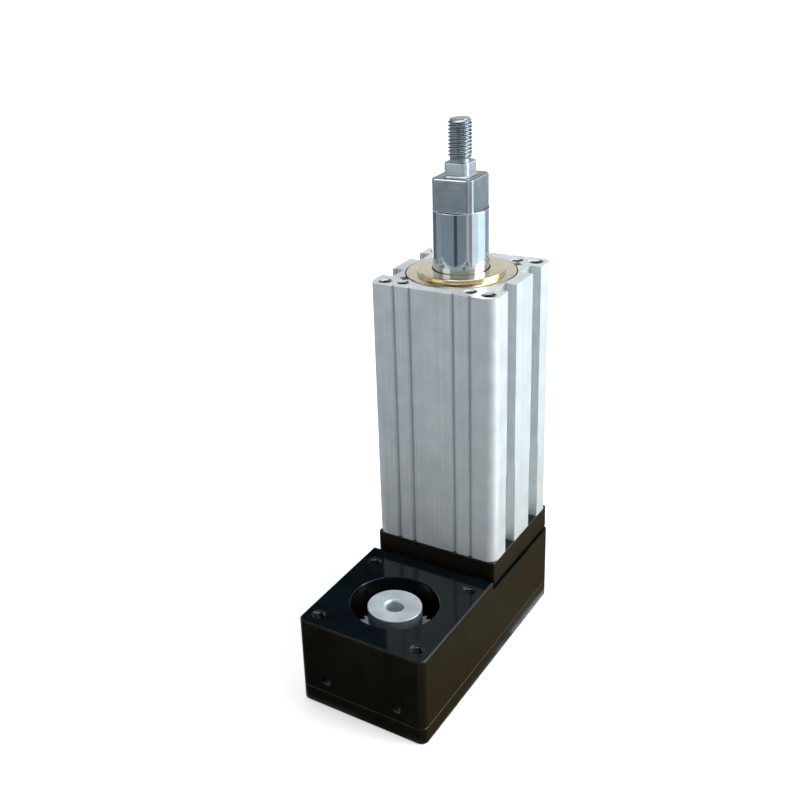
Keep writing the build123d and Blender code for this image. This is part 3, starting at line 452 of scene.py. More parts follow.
def refined_copy(node: str, name: str, finishes: list[Finish], bevel: float,
                 reshape: Callable[[Vector], Vector] | None = None) -> Object:
    """Copy a node of the housing as clean faces whose edges are finely broken.

    Args:
        node: node of the frame that the copy stands for.
        name: name of the piece.
        finishes: finishes of the faces, then of the broken edges.
        bevel: width of the broken edge in millimetres.
        reshape: new place of a corner, from its place in millimetres.

    Returns:
        The piece.
    """
    bm = bmesh.new()
    bm.from_mesh(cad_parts[node].data)
    bmesh.ops.remove_doubles(bm, verts=bm.verts, dist=SAME_PLACE * MM)
    bmesh.ops.dissolve_limit(bm, angle_limit=SAME_PLANE, verts=bm.verts, edges=bm.edges)
    if reshape:
        for vert in bm.verts:
            vert.co = reshape(vert.co / MM) * MM
    for face in bm.faces:
        face.material_index = 0
    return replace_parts(dressed_piece(bm, name, "housing", finishes, bevel), node)


def stack(bm: Shape, rings: list[list[bmesh.types.BMVert]]) -> None:
    """Join rings of corners into a closed column.

    Args:
        bm: mesh that gets the faces.
        rings: corners of each level, from the lowest up, all with the same count.
    """
    for low, high in zip(rings, rings[1:]):
        for k in range(len(low)):
            after = (k + 1) % len(low)
            bm.faces.new((low[k], low[after], high[after], high[k]))
    bm.faces.new(list(reversed(rings[0])))
    bm.faces.new(rings[-1])


def lathe(bm: Shape, profile: list[Pair], y: float, sides: int = 96) -> None:
    """Turn a closed profile about an upright axis.

    Args:
        bm: mesh that gets the faces.
        profile: (radius, height) points in order.
        y: place of the axis along Y.
        sides: number of columns.
    """
    angles = [FULL_TURN * k / sides for k in range(sides)]
    rings = [[bm.verts.new((r * math.cos(a), y + r * math.sin(a), z)) for a in angles] for r, z in profile]
    for low, high in zip(rings, rings[1:] + rings[:1]):
        for k in range(sides):
            after = (k + 1) % sides
            bm.faces.new((low[k], low[after], high[after], high[k]))
    bmesh.ops.recalc_face_normals(bm, faces=bm.faces)


def rounded_profile(points: list[Point], steps: int = 3) -> list[Pair]:
    """Round the corners of a lathe profile.

    Args:
        points: (radius, height, fillet) corners in order; a fillet of zero stays sharp.
        steps: points along each fillet.

    Returns:
        (radius, height) points.
    """
    out = []
    for i, (r, z, fillet) in enumerate(points):
        if fillet <= 0:
            out.append((r, z))
            continue
        here = Vector((r, z))
        before = Vector(points[i - 1][:2]) - here
        after = Vector(points[(i + 1) % len(points)][:2]) - here
        start, end = (here + side.normalized() * min(fillet, side.length / 2) for side in (before, after))
        for k in range(steps + 1):
            t = k / steps
            point = start * (1 - t) ** 2 + here * 2 * t * (1 - t) + end * t ** 2
            out.append((point.x, point.y))
    return out


def open_group(name: str, kinds: dict[str, str]) -> tuple[Tree, bpy.types.NodeOutputs]:
    """Begin a geometry node group that sets a shape at each point of a mesh.

    Args:
        name: name of the group.
        kinds: kind of socket by name, beside those for the points and the finish.

    Returns:
        The group and the sockets of its inputs.
    """
    tree = bpy.data.node_groups.new(name, "GeometryNodeTree")
    for socket, kind in {"Points": "Geometry", **kinds, "Finish": "Material"}.items():
        tree.interface.new_socket(socket, in_out="INPUT", socket_type=f"NodeSocket{kind}")
    tree.interface.new_socket("Pieces", in_out="OUTPUT", socket_type="NodeSocketGeometry")
    return tree, add_node(tree, "NodeGroupInput").outputs


def close_group(tree: Tree, given: bpy.types.NodeOutputs, shape: Source, turn: Source) -> None:
    """End a group with the shape at each point, made real and dressed.

    Args:
        tree: the group.
        given: sockets of its inputs.
        shape: geometry of one piece.
        turn: rotation of each piece.
    """
    spots = add_node(tree, "GeometryNodeMeshToPoints", inputs={0: given["Points"]})
    copies = add_node(tree, "GeometryNodeInstanceOnPoints",
                      inputs={"Points": spots, "Instance": shape, "Rotation": turn})
    real = add_node(tree, "GeometryNodeRealizeInstances", inputs={0: copies})
    dressed = add_node(tree, "GeometryNodeSetMaterial", inputs={0: real, "Material": given["Finish"]})
    add_node(tree, "NodeGroupOutput", inputs={0: dressed})


@cache
def thread_tree() -> Tree:
    """Geometry nodes that stand a helical ridge at each point: the thread cut in a tapped hole.

    Returns:
        The node group, with inputs for radius, ridge, pitch, turns, turn of the axis and finish.
    """
    kinds = dict.fromkeys(("Radius", "Ridge", "Pitch", "Turns"), "Float")
    tree, given = open_group("tapped_thread", {**kinds, "Axis turn": "Vector"})
    depth = add_node(tree, "ShaderNodeMath", {"operation": "MULTIPLY"},
                     {0: given["Pitch"], 1: given["Turns"]})
    helix = add_node(tree, "GeometryNodeCurveSpiral", inputs={
        "Resolution": 28, "Rotations": given["Turns"], "Start Radius": given["Radius"],
        "End Radius": given["Radius"], "Height": depth,
    })
    upright = add_node(tree, "GeometryNodeSetCurveNormal", {"mode": "Z_UP"}, {0: helix})
    ridge = add_node(tree, "GeometryNodeCurvePrimitiveCircle",
                     inputs={"Resolution": 3, "Radius": given["Ridge"]})
    swept = add_node(tree, "GeometryNodeCurveToMesh",
                     inputs={"Curve": upright, "Profile Curve": ridge, "Fill Caps": True})
    close_group(tree, given, swept, given["Axis turn"])
    return tree


# inputs of the screw's group: each is a field of CoverScrews
SCREW_SIZES = ("Head radius", "Head height", "Socket radius", "Socket start", "Socket depth",
               "Shank radius", "Shank length")


def cap_screw_tree() -> Tree:
    """Geometry nodes that set a socket-head screw, head down, at each point.

    Returns:
        The node group, with inputs for the screw's sizes and its finish.
    """
    tree, given = open_group("cap_screw", dict.fromkeys(SCREW_SIZES, "Float"))
    columns = []
    for sides, radius, depth, below in ((40, "Head radius", "Head height", None),
                                        (6, "Socket radius", "Socket depth", "Socket start"),
                                        (24, "Shank radius", "Shank length", "Head height")):
        middle = add_node(tree, "ShaderNodeMath", {"operation": "MULTIPLY_ADD"},
                          {0: given[depth], 1: 0.5, 2: given[below] if below else 0.0})
        lift = add_node(tree, "ShaderNodeCombineXYZ", inputs={"Z": middle})
        shape = add_node(tree, "GeometryNodeMeshCylinder",
                         inputs={"Vertices": sides, "Radius": given[radius], "Depth": given[depth]})
        stood = add_node(tree, "GeometryNodeTransform", inputs={"Geometry": shape, "Translation": lift})
        columns.append(stood)
    head = add_node(tree, "GeometryNodeMeshBoolean", {"operation": "DIFFERENCE"},
                    {"Mesh 1": columns[0], "Mesh 2": columns[1]})
    whole = add_node(tree, "GeometryNodeJoinGeometry", inputs={0: head})
    tree.links.new(columns[2].outputs[0], whole.inputs[0])
    turn = add_node(tree, "FunctionNodeRandomValue", {"data_type": "FLOAT_VECTOR"},
                    {0: (0.0, 0.0, 0.0), 1: (0.0, 0.0, math.pi / 3), "Seed": 4})
    close_group(tree, given, whole, turn)
    return tree


def grow(tree: Tree, points: list[Point], values: dict[str, object], name: str) -> Mesh:
    """Run a node group on a set of points and keep the result as a plain mesh.

    Args:
        tree: node group with a geometry input first.
        points: places in millimetres.
        values: the group's inputs by name.
        name: name of the mesh.

    Returns:
        The evaluated mesh.
    """
    seed = bpy.data.meshes.new(name + "_points")
    seed.from_pydata([[c * MM for c in p] for p in points], [], [])
    holder = put(name + "_points", seed)
    nodes = holder.modifiers.new("nodes", "NODES")
    nodes.node_group = tree
    for item in tree.interface.items_tree:
        if item.in_out == "INPUT" and item.name in values:
            nodes[item.identifier] = values[item.name]
    made = baked(holder)
    made.name = name
    shade_smooth(made)
    return made


def four(dx: float, dy: float, y: float, z: float) -> list[Point]:
    """Corners of a rectangle of half-sizes dx and dy about (0, y) at one height."""
    return [(sx * dx, y + sy * dy, z) for sx in (-1, 1) for sy in (-1, 1)]


# radius and pitch of the coarse metric threads
M5 = (2.5, 0.8)
M6 = (3.0, 1.0)


@dataclass
class TappedHoles:
    """Threads seen in the mouths of one set of tapped holes."""

    name: str
    points: list[Point]
    radius: float
    pitch: float
    turns: float
    finish: Finish
    axis_turn: Point = (math.pi, 0.0, 0.0)
    ridge_share: float = 0.42
    sunk_share: float = 0.45

    def build(self) -> None:
        """Cut the threads."""
        ridge = self.pitch * self.ridge_share
        mesh = grow(thread_tree(), self.points, {
            "Radius": (self.radius - ridge * self.sunk_share) * MM, "Ridge": ridge * MM,
            "Pitch": self.pitch * MM, "Turns": self.turns, "Axis turn": self.axis_turn,
            "Finish": self.finish.material(),
        }, self.name)
        place_piece(mesh, self.name, "housing")


@dataclass
class CoverScrews:
    """Six socket-head screws that hold the base cover, sunk in its underside."""

    seat: float = 0.25
    half_pattern: tuple[Pair, ...] = ((24.0, -57.5), (26.0, -10.5), (9.0, 59.5))
    head_radius: float = 2.75
    head_height: float = 3.0
    socket_radius: float = 1.44
    socket_start: float = -0.3
    socket_depth: float = 1.9
    shank_radius: float = 1.5
    shank_length: float = 12.0
    broken_edge: float = 0.15

    def build(self) -> None:
        """Set the screws."""
        places = [(side * x, y, self.seat) for x, y in self.half_pattern for side in (-1, 1)]
        sizes = {name: getattr(self, name.lower().replace(" ", "_")) * MM for name in SCREW_SIZES}
        mesh = grow(cap_screw_tree(), places, {**sizes, "Finish": BLACK_OXIDE.material()}, "cap_screws")
        piece = place_piece(settled(mesh, self.broken_edge), "cover_cap_screws", "housing")
        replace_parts(piece, "cover_screws")


@dataclass
class CylinderTube:
    """The extruded tube with its faced and tapped end."""

    half_corners: Pair = (23.8, 23.8)
    half_flange: Pair = (15.6, 22.9)
    half_width: float = 29.0
    groove_offsets: Pair = (10.0, 17.5)
    groove_half: float = 1.9
    groove_share: float = 0.65
    snap: float = 0.05
    skin: float = 0.01
    mouth_margin: float = 0.15
    thread_start: float = 0.4
    thread_turns: int = 12
    broken_edge: float = 0.12

    def finer_groove(self, place: Vector) -> Vector:
        """Draw a corner of a V groove in: the photograph shows them finer than the solid has them.

        Args:
            place: corner of the tube in millimetres.

        Returns:
            Its new place.
        """
        out = place.y - ROD_Y
        sunk = self.half_width - abs(out)
        reach = self.groove_half + self.snap
        for offset in self.groove_offsets:
            across = abs(place.x) - offset
            if sunk < reach and abs(across) < reach:
                x = math.copysign(offset + across * self.groove_share, place.x)
                y = ROD_Y + math.copysign(self.half_width - sunk * self.groove_share, out)
                return Vector((x, y, place.z))
        return place

    def in_groove(self, place: Vector) -> bool:
        """Tell whether a place is inside a V groove as it is drawn.

        Args:
            place: middle of a face in millimetres.

        Returns:
            True inside a groove or on its broken edge.
        """
        sunk = self.half_width - abs(place.y - ROD_Y)
        reach = self.groove_half * self.groove_share + self.mouth_margin
        beside = any(abs(abs(place.x) - offset) < reach for offset in self.groove_offsets)
        return self.skin < sunk < reach and beside

    def build(self) -> None:
        """Make the tube and the threads in its end."""
        finishes = [DRAWN_ALUMINIUM, GROOVE_PAINTED_SHADE, FACED_ALUMINIUM]
        tube = refined_copy("cylinder_tube", "extruded_tube", finishes, self.broken_edge, self.finer_groove)
        # ends and broken edges take the faced finish; faces in a V groove take the finish with painted shade
        # at the root
        for face in tube.data.polygons:
            if abs(face.normal.z) > FACING:
                face.material_index = 2
            elif self.in_groove(face.center / MM):
                face.material_index = 1
        start = TUBE_TOP - self.thread_start
        for name, half, size in (("corner", self.half_corners, M6), ("flange", self.half_flange, M5)):
            TappedHoles(f"tube_{name}_threads", four(*half, ROD_Y, start), *size, self.thread_turns,
                        CUT_THREAD).build()


@dataclass
class BeltHousing:
    """Housing, cover and bearing block: black anodised parts with the motor's mount."""

    deck: float = 41.5
    half_motor: float = 23.57
    front: float = -63.5
    half_front: float = 17.0
    front_height: float = 14.0
    recess_reach: float = 20.0
    recess_floor: float = 12.0
    deck_thread_start: float = 0.7
    front_thread_start: float = 0.3
    thread_turns: int = 10
    broken_edge: float = 0.12

    def build(self) -> None:
        """Make the black parts and the threads in the housing."""
        black = [SIDE_ANODISED_PAINTED_SHEEN, DECK_ANODISED_PAINTED_REFLECTION, RUBBED_EDGE_AND_PAINTED_HIGHLIGHT]
        for node in ("belt_housing", "base_cover", "bearing_block"):
            piece = refined_copy(node, f"milled_{node}", black, self.broken_edge)
            # top faces and the recess walls take the deck finish with its painted teal reflection; the other
            # faces keep the side finish with its painted brown sheen, and broken edges the rubbed edge with
            # its painted highlight
            for face in piece.data.polygons:
                x, y, z = face.center / MM
                in_recess = math.hypot(x, y - MOTOR_Y) < self.recess_reach and z > self.recess_floor
                if face.material_index == 0 and (face.normal.z > FACING or in_recess):
                    face.material_index = 1
        around = four(self.half_motor, self.half_motor, MOTOR_Y, self.deck - self.deck_thread_start)
        TappedHoles("motor_threads", around, *M5, self.thread_turns, DECK_ANODISED_PAINTED_REFLECTION).build()
        mouths = [(side * self.half_front, self.front + self.front_thread_start, self.front_height)
                  for side in (-1, 1)]
        TappedHoles("front_threads", mouths, *M5, self.thread_turns, DECK_ANODISED_PAINTED_REFLECTION,
                    (-math.pi / 2, 0.0, 0.0)).build()


@dataclass
class RodGuide:
    """Turned brass bush with its flange and raised collar."""

    bottom: float = 147.0
    bore: float = 12.05
    mouth: float = 12.35
    body: float = 20.98
    flange: float = 23.4
    collar: float = 18.9
    proud: float = 0.3
    collar_height: float = 1.7
    flange_depth: float = 4.5
    mouth_depth: float = 2.5
    seal_groove: float = 15.5
    seal_depths: Pair = (8.0, 12.0)
    sides: int = 144
    wall_facing: float = 0.4

    def build(self) -> None:
        """Turn the bush."""
        low = TUBE_TOP + self.proud
        high = low + self.collar_height
        under, lip = low - self.flange_depth, high - self.mouth_depth
        seal_top, seal_bottom = (high - depth for depth in self.seal_depths)
        profile = rounded_profile([
            (self.bore, self.bottom, 0.3), (self.body, self.bottom, 0.3), (self.body, under, 0.0),
            (self.flange, under, 0.3), (self.flange, low, 0.5), (self.collar, low, 0.25),
            (self.collar, high, 0.5), (self.mouth, high, 0.35), (self.mouth, lip, 0.1),
            (self.bore, lip, 0.1), (self.bore, seal_top, 0.0), (self.seal_groove, seal_top, 0.0),
            (self.seal_groove, seal_bottom, 0.0), (self.bore, seal_bottom, 0.0),
        ])
        bm = bmesh.new()
        lathe(bm, profile, ROD_Y, self.sides)
        # upright walls take the brass with its painted golden reflection
        for face in bm.faces:
            face.material_index = int(abs(face.normal.z) < self.wall_facing)
        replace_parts(piece_from(bm, "turned_rod_guide", "housing", [TURNED_BRASS, BRASS_WALL_PAINTED_REFLECTION]), "rod_guide")


@dataclass
class PistonRod:
    """Chromed rod with four milled flats, and the stud screwed into it."""

    bottom: float = 99.0
    shoulder: float = 109.5
    flats_bottom: float = 199.5
    top: float = 213.5
    radius: float = 12.0
    spigot: float = 11.0
    half_flats: float = 9.35
    no_flats: float = 99.0
    rod_sides: int = 192
    rod_softness: float = 0.12
    stud_radius: float = 5.0
    stud_core: float = 4.15
    stud_shank: float = 6.0
    stud_depth: float = 18.0
    stud_sides: int = 48
    pitch: float = 1.5
    rows_per_turn: int = 12
    relief: float = 1.2
    relief_depth: float = 0.15
    run_out: float = 1.5
    tip_chamfer: float = 1.1
    tip_slope: float = 0.9
    neck_half: float = 5.5
    neck_radius: float = 6.6
    neck_top: float = 219.5
    neck_softness: float = 0.5
    overlap: float = 0.05
    tip: float = 237.0
    flat_facing: float = 0.995
    end_facing: float = 0.3

    def section(self, reach: float, limit: float, corner: float) -> list[Pair]:
        """Outline of a round bar with four flats.

        Args:
            reach: radius of the bar.
            limit: distance of the flats from the axis.
            corner: softening of the edge between bar and flat.

        Returns:
            Points in order, every outline with the same count.
        """
        points = []
        soft = corner + 1e-6
        for k in range(self.rod_sides):
            angle = FULL_TURN * k / self.rod_sides
            off = (angle + math.pi / 4) % (math.pi / 2) - math.pi / 4
            flat = limit / math.cos(off)
            gap = (flat - reach) / soft
            blend = min(flat, reach)
            if abs(gap) <= 1:
                blend = reach + soft * (gap - (gap + 1) ** 2 / 4)
            points.append((blend * math.cos(angle), blend * math.sin(angle)))
        return points

    def bar(self, bm: Shape, sections: list[Point], corner: float) -> None:
        """Stack outlines into a closed bar.

        Args:
            bm: mesh that gets the faces.
            sections: (height, radius, distance of the flats) from the lowest up.
            corner: softening of the bar's edges.
        """
        stack(bm, [
            [bm.verts.new((x, ROD_Y + y, height)) for x, y in self.section(reach, limit, corner)]
            for height, reach, limit in sections
        ])

    def rod(self) -> None:
        """Make the rod, its flats bare and the rest chromed."""
        bm = bmesh.new()
        r, f, low, high = self.radius, self.half_flats, self.flats_bottom, self.top
        # a spigot and the round bar, the cutter's run-out into the flats, then the broken top edge
        self.bar(bm, [
            (self.bottom, self.spigot, self.no_flats), (self.shoulder, self.spigot, self.no_flats),
            (self.shoulder, r, self.no_flats), (low - 0.25, r, self.no_flats),
            (low, r - 0.08, r - 0.08), (low + 0.05, r - 0.1, f + 0.35), (low + 0.4, r, f),
            (high - 0.7, r, f), (high - 0.2, r - 0.25, f - 0.15), (high, r - 0.7, f - 0.6),
        ], self.rod_softness)
        bm.normal_update()
        for face in bm.faces:
            across = max(abs(face.normal.x), abs(face.normal.y))
            bare = across > self.flat_facing or abs(face.normal.z) > self.end_facing
            face.material_index = int(face.calc_center_median().z > low and bare)
        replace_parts(piece_from(bm, "chromed_piston_rod", "rod", [HARD_CHROME, MILLED_STEEL]), "piston_rod")

    def thread_radius(self, height: float, angle: float) -> float:
        """Radius of the stud's thread, with its relief at the neck and its chamfered tip.

        Args:
            height: height above the base.
            angle: angle about the axis in radians.

        Returns:
            The radius.
        """
        ridge = self.stud_radius - self.stud_core
        turn = ((height - self.pitch * angle / FULL_TURN) / self.pitch) % 1.0
        rise = min(1.0, max(0.0, 1.35 - abs(turn - 0.5) * 3.4))
        into_thread = max(0.0, (height - self.neck_top - self.relief) / self.run_out)
        past_chamfer = max(0.0, height - (self.tip - self.tip_chamfer))
        return min(self.stud_core + ridge * rise, self.stud_core + self.relief_depth + ridge * into_thread,
                   self.stud_radius - past_chamfer * self.tip_slope)

    def stud(self) -> None:
        """Make the stud with its four-flat neck and rolled thread."""
        bm = bmesh.new()
        base, shank, radius, half = self.top - self.overlap, self.stud_shank, self.neck_radius, self.neck_half
        # the hidden shank, a fillet on the rod's end, then the neck with its broken top edge
        self.bar(bm, [
            (self.top - self.stud_depth, shank, self.no_flats), (base, shank, self.no_flats),
            (base, radius + 0.9, half + 0.9), (self.top + 0.25, radius + 0.35, half + 0.35),
            (self.top + 0.8, radius, half), (self.neck_top - 0.6, radius, half),
            (self.neck_top - 0.15, radius - 0.2, half - 0.2), (self.neck_top, radius - 0.6, half - 0.6),
        ], self.neck_softness)
        length = self.tip - self.neck_top
        count = int(length / (self.pitch / self.rows_per_turn))
        rings = []
        for i in range(count + 1):
            height = self.neck_top - self.overlap + i * (length + self.overlap) / count
            ring = []
            for k in range(self.stud_sides):
                angle = FULL_TURN * k / self.stud_sides
                r = self.thread_radius(height, angle)
                ring.append(bm.verts.new((r * math.cos(angle), ROD_Y + r * math.sin(angle), height)))
            rings.append(ring)
        stack(bm, rings)
        for face in bm.faces:
            face.material_index = int(face.calc_center_median().z > self.neck_top + 0.02)
        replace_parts(piece_from(bm, "threaded_stud", "rod", [MACHINED_STEEL, ROLLED_THREAD]), "rod_end_stud")

    def build(self) -> None:
        """Make the rod and its stud."""
        self.rod()
        self.stud()


@dataclass
class MotorPulley:
    """Toothed pulley whose bored hub shows in the motor's recess."""

    bore: float = 4.0
    bore_chamfer: float = 0.75
    hub: float = 11.75
    top: float = 39.8
    bottom: float = 11.2
    flange_seat: float = 14.31
    rim_bottom: float = 12.2
    rim_top: float = 27.2
    rim_inset: float = 0.2
    tip: float = 16.81
    root: float = 15.56
    teeth: int = 36
    tip_share: float = 0.32
    root_share: float = 0.23
    # distance from the top and from the bore within which faces keep the turned finish without painted shade
    bright: float = 1.0

    def rim(self, bm: Shape) -> None:
        """Add the toothed rim with round-bottomed gaps.

        Args:
            bm: mesh that gets the faces.
        """
        rings: list[list[bmesh.types.BMVert]] = [[], []]
        half_gap = ((self.root_share / 2, self.root), (self.root_share, self.root + 0.15),
                    (self.tip_share, self.tip - 0.12), (self.tip_share + 0.02, self.tip))
        gap = [(-share, radius) for share, radius in reversed(half_gap)] + list(half_gap)
        for i in range(self.teeth):
            for share, radius in gap:
                angle = FULL_TURN / self.teeth * (i + share)
                x, y = radius * math.cos(angle), MOTOR_Y + radius * math.sin(angle)
                rings[0].append(bm.verts.new((x, y, self.rim_bottom)))
                rings[1].append(bm.verts.new((x, y, self.rim_top)))
        stack(bm, rings)

    def build(self) -> None:
        """Make the pulley."""
        bm = bmesh.new()
        self.rim(bm)
        rim = set(bm.faces)
        seat, chamfer = self.rim_bottom + self.rim_inset, self.bore_chamfer
        lathe(bm, rounded_profile([
            (self.bore, self.bottom, 0.4), (self.flange_seat, self.bottom, 0.2),
            (self.flange_seat, seat, 0.0), (self.hub, seat, 0.0), (self.hub, self.top, 0.35),
            (self.bore + chamfer, self.top, 0.15), (self.bore, self.top - chamfer, 0.15),
        ]), MOTOR_Y)
        bm.normal_update()
        # below the top and outside the bore the hub gets painted shade, and the toothed rim a darker painted
        # shade
        for face in bm.faces:
            middle = face.calc_center_median()
            in_bore = math.hypot(middle.x, middle.y - MOTOR_Y) < self.bore + self.bright
            if middle.z < self.top - self.bright and not in_bore:
                face.material_index = 2 if face in rim else 1
        finishes = [TURNED_ALUMINIUM, RECESS_ALUMINIUM_PAINTED_SHADE, RIM_PAINTED_SHADE]
        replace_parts(piece_from(bm, "turned_motor_pulley", "motor_pulley", finishes), "motor_pulley")


@dataclass
class InnerWorks:
    """Parts whose own solids have the right shape: they keep them and get their finish."""

    def build(self) -> None:
        """Dress every node that no piece replaces."""
        finishes = {
            BLACK_OXIDE: ("tie_screws", "retainer_screws", "screw_pulley_snap_ring",
                          "screw_tip_snap_ring", "motor_pulley_grubs", "nut_retaining_ring"),
            BEARING_STEEL: ("block_dowels", "bearing_outer_rings", "bearing_inner_rings",
                            "ball_screw", "ball_nut"),
            MACHINED_STEEL: ("bearing_retainer", "lock_nut", "screw_pulley_key"),
            TURNED_ALUMINIUM: ("motor_pulley_flange",),
            TURNED_ALUMINIUM_ROD_SIDE: ("screw_pulley", "screw_pulley_flanges", "nut_carrier"),
            BELT_RUBBER: ("drive_belt",),
            SEAL_RUBBER: ("rod_seal",),
            CAST_URETHANE: ("upper_bumper", "lower_bumper"),
            TURNED_ACETAL: ("screw_tip_bush", "wear_ring", "guide_keys"),
            BONDED_FERRITE: ("magnet_ring",),
        }
        for finish, nodes in finishes.items():
            for node in nodes:
                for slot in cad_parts[node].material_slots:
                    slot.material = finish.material()
                LOG.info("%s: %s", node, finish.name)


@dataclass(frozen=True)
class Card:
    """One grey card beside the set, which only shiny surfaces show."""

    name: str
    colour: str
    turn: Pair
    reach: Pair = (0.03, 1.5)
    height: Pair = (0.001, 0.001)
    centre: Pair = (0.0, ROD_Y * MM)
    strength: float = 1.0
    steps: int = 12

    def build(self) -> None:
        """Lay the card as a sector round its centre, or stand it where its two heights differ."""
        bm = bmesh.new()
        start, end = self.turn
        x, y = self.centre
        pairs = []
        for k in range(self.steps + 1):
            angle = math.radians(start + (end - start) * k / self.steps)
            pairs.append([
                bm.verts.new((x + reach * math.cos(angle), y + reach * math.sin(angle), height))
                for reach, height in zip(self.reach, self.height)
            ])
        for (near, far), (next_near, next_far) in zip(pairs, pairs[1:]):
            bm.faces.new((near, far, next_far, next_near))
        mesh = mesh_from(bm, self.name)
        material = bpy.data.materials.new(self.name)
        tree = blank_tree(material)
        flat = add_node(tree, "ShaderNodeEmission",
                        inputs={"Color": linear(self.colour), "Strength": self.strength})
        add_node(tree, "ShaderNodeOutputMaterial", inputs={"Surface": flat})
        mesh.materials.append(material)
        card = put(self.name, mesh)
        for ray in ("camera", "diffuse", "shadow", "transmission"):
            setattr(card, f"visible_{ray}", False)


CARDS = (
    # bench round the set, from the left to the right: the greys of the tube and the stripes of the rod
    Card("bench_far_left_card", "#717C7D", (150.0, 181.0)),
    Card("bench_left_card", "#A3B1BB", (181.0, 212.0)),
    Card("bench_front_left_card", "#98A6B1", (212.0, 269.0)),
    Card("dark_stripe_card", "#4E5A62", (269.0, 282.0)),
    Card("bench_front_card", "#98A1A9", (282.0, 318.0)),
    Card("rosy_stripe_card", "#DCD5D8", (318.0, 330.0)),
    Card("bench_edge_card", "#A6A8AD", (330.0, 341.0)),
    Card("bench_right_card", "#E9F4FC", (341.0, 368.0), strength=1.45),
    Card("bench_bright_card", "#E4F6FF", (8.0, 48.0), strength=1.9),
    Card("bench_far_right_card", "#BACDD6", (48.0, 84.0)),
    # brown table close to the housing's right side and front
    Card("table_right_card", "#786A42", (-3.2, 4.5), (2.031, 2.11), (0.0015, 0.0015), (-2.0, 0.03)),
    Card("table_front_card", "#2A2718", (266.8, 270.8), (2.0645, 2.13), (0.0015, 0.0015), (0.0, 2.0)),
    # dark room behind and in front, seen in the motor's deck
    Card("room_back_card", "#0B1114", (80.0, 175.0), (0.9, 0.9), (0.56, 2.0)),
    Card("room_front_card", "#0B1114", (195.0, 330.0), (0.9, 0.9), (0.5, 1.8)),
)


@dataclass(frozen=True)
class Lamp:
    """One soft square lamp: place and side in metres, power in watts; it faces the part's middle."""

    name: str
    place: Point
    side: float
    power: float
    aim: Point = (0.0, 0.0, 0.1)

    def build(self) -> None:
        """Hang the lamp."""
        data = bpy.data.lights.new(self.name, "AREA")
        data.shape, data.size, data.energy = "SQUARE", self.side, self.power
        holder = put(self.name, data)
        holder.location = self.place
        holder.rotation_euler = (Vector(self.aim) - Vector(self.place)).to_track_quat("-Z", "Y").to_euler()


LAMPS = (
    Lamp("right_softbox", (0.8, 0.3, 0.45), 0.7, 11.5),
    Lamp("top_softbox", (-0.1, 0.1, 1.0), 0.7, 4.5),
    Lamp("front_left_fill", (-0.6, -0.8, 0.5), 0.6, 2.0),
)


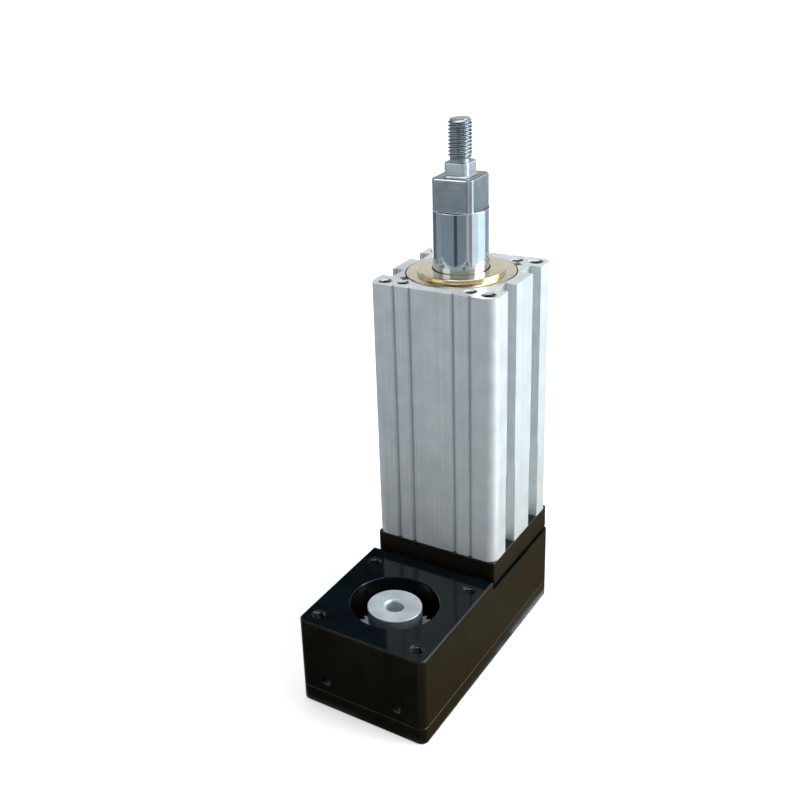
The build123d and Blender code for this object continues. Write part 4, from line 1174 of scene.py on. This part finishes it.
@dataclass
class Studio:
    """White ground, soft lamps and the camera at the photograph's angle."""

    camera_place: Point = (199.289, -369.525, 317.627)
    camera_turn: Point = (67.8409, 4.8934, 36.9611)
    lens: float = 48.2046
    sensor: float = 36.0
    shift: Pair = (0.2, -0.05)
    dim_strength: float = 0.35
    half_floor: float = 60.0
    glow_reach: Pair = (0.25, 0.9)
    glow_strength: Pair = (0.45, 1.0)

    def camera(self) -> None:
        """Place the camera."""
        data = bpy.data.cameras.new("camera")
        data.sensor_width = self.sensor
        data.lens = self.lens
        data.shift_x, data.shift_y = self.shift
        data.clip_start = 0.01
        seat = put("camera", data)
        seat.location = [c * MM for c in self.camera_place]
        seat.rotation_euler = Euler([math.radians(a) for a in self.camera_turn])
        bpy.context.scene.camera = seat

    def seen_white(self, tree: Tree) -> Node:
        """Tell the rays that see the surroundings as white.

        Args:
            tree: node tree of the world or the floor.

        Returns:
            Node that gives one for camera, glossy and transmission rays.
        """
        path = add_node(tree, "ShaderNodeLightPath").outputs
        first = add_node(tree, "ShaderNodeMath", {"operation": "MAXIMUM"},
                         {0: path["Is Camera Ray"], 1: path["Is Glossy Ray"]})
        return add_node(tree, "ShaderNodeMath", {"operation": "MAXIMUM"},
                        {0: first, 1: path["Is Transmission Ray"]})

    def world(self) -> None:
        """Plain soft surroundings that look white."""
        world = bpy.data.worlds.new("studio")
        bpy.context.scene.world = world
        tree = blank_tree(world)
        dim = add_node(tree, "ShaderNodeBackground",
                       inputs={"Color": linear("#E8EAEC"), "Strength": self.dim_strength})
        white = add_node(tree, "ShaderNodeBackground", inputs={"Color": WHITE, "Strength": 1.0})
        mixed = add_node(tree, "ShaderNodeMixShader", inputs={0: self.seen_white(tree), 1: dim, 2: white})
        add_node(tree, "ShaderNodeOutputWorld", inputs={"Surface": mixed})

    def floor(self) -> None:
        """White floor that keeps the object's shadow; away from the lamps it glows to stay white."""
        bm = bmesh.new()
        bmesh.ops.create_grid(bm, x_segments=1, y_segments=1, size=self.half_floor)
        mesh = mesh_from(bm, "floor")
        plane = put("floor", mesh)
        material = bpy.data.materials.new("white_ground")
        tree = blank_tree(material)
        paper = add_node(tree, "ShaderNodeBsdfDiffuse", inputs={"Color": linear("#E6E7E8")})
        away = add_node(tree, "ShaderNodeVectorMath", {"operation": "LENGTH"},
                        {0: add_node(tree, "ShaderNodeTexCoord").outputs["Object"]})
        strength = add_node(tree, "ShaderNodeMapRange", inputs={
            "Value": away.outputs["Value"], "From Min": self.glow_reach[0], "From Max": self.glow_reach[1],
            "To Min": self.glow_strength[0], "To Max": self.glow_strength[1],
        })
        glow = add_node(tree, "ShaderNodeEmission", inputs={"Color": WHITE, "Strength": strength})
        both = add_node(tree, "ShaderNodeAddShader", inputs={0: paper, 1: glow})
        mixed = add_node(tree, "ShaderNodeMixShader", inputs={0: self.seen_white(tree), 1: paper, 2: both})
        add_node(tree, "ShaderNodeOutputMaterial", inputs={"Surface": mixed})
        mesh.materials.append(material)

    def build(self) -> None:
        """Set the whole stage."""
        bpy.context.scene.view_settings.view_transform = "Standard"
        self.camera()
        self.world()
        self.floor()
        for thing in CARDS + LAMPS:
            thing.build()


def main() -> None:
    """Build every sub-assembly."""
    logging.basicConfig(level=logging.INFO, format="%(name)s: %(message)s")
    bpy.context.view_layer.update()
    for assembly in (Studio, CylinderTube, BeltHousing, CoverScrews, RodGuide, PistonRod, MotorPulley,
                     InnerWorks):
        assembly().build()


if __name__ == "__main__":
    main()
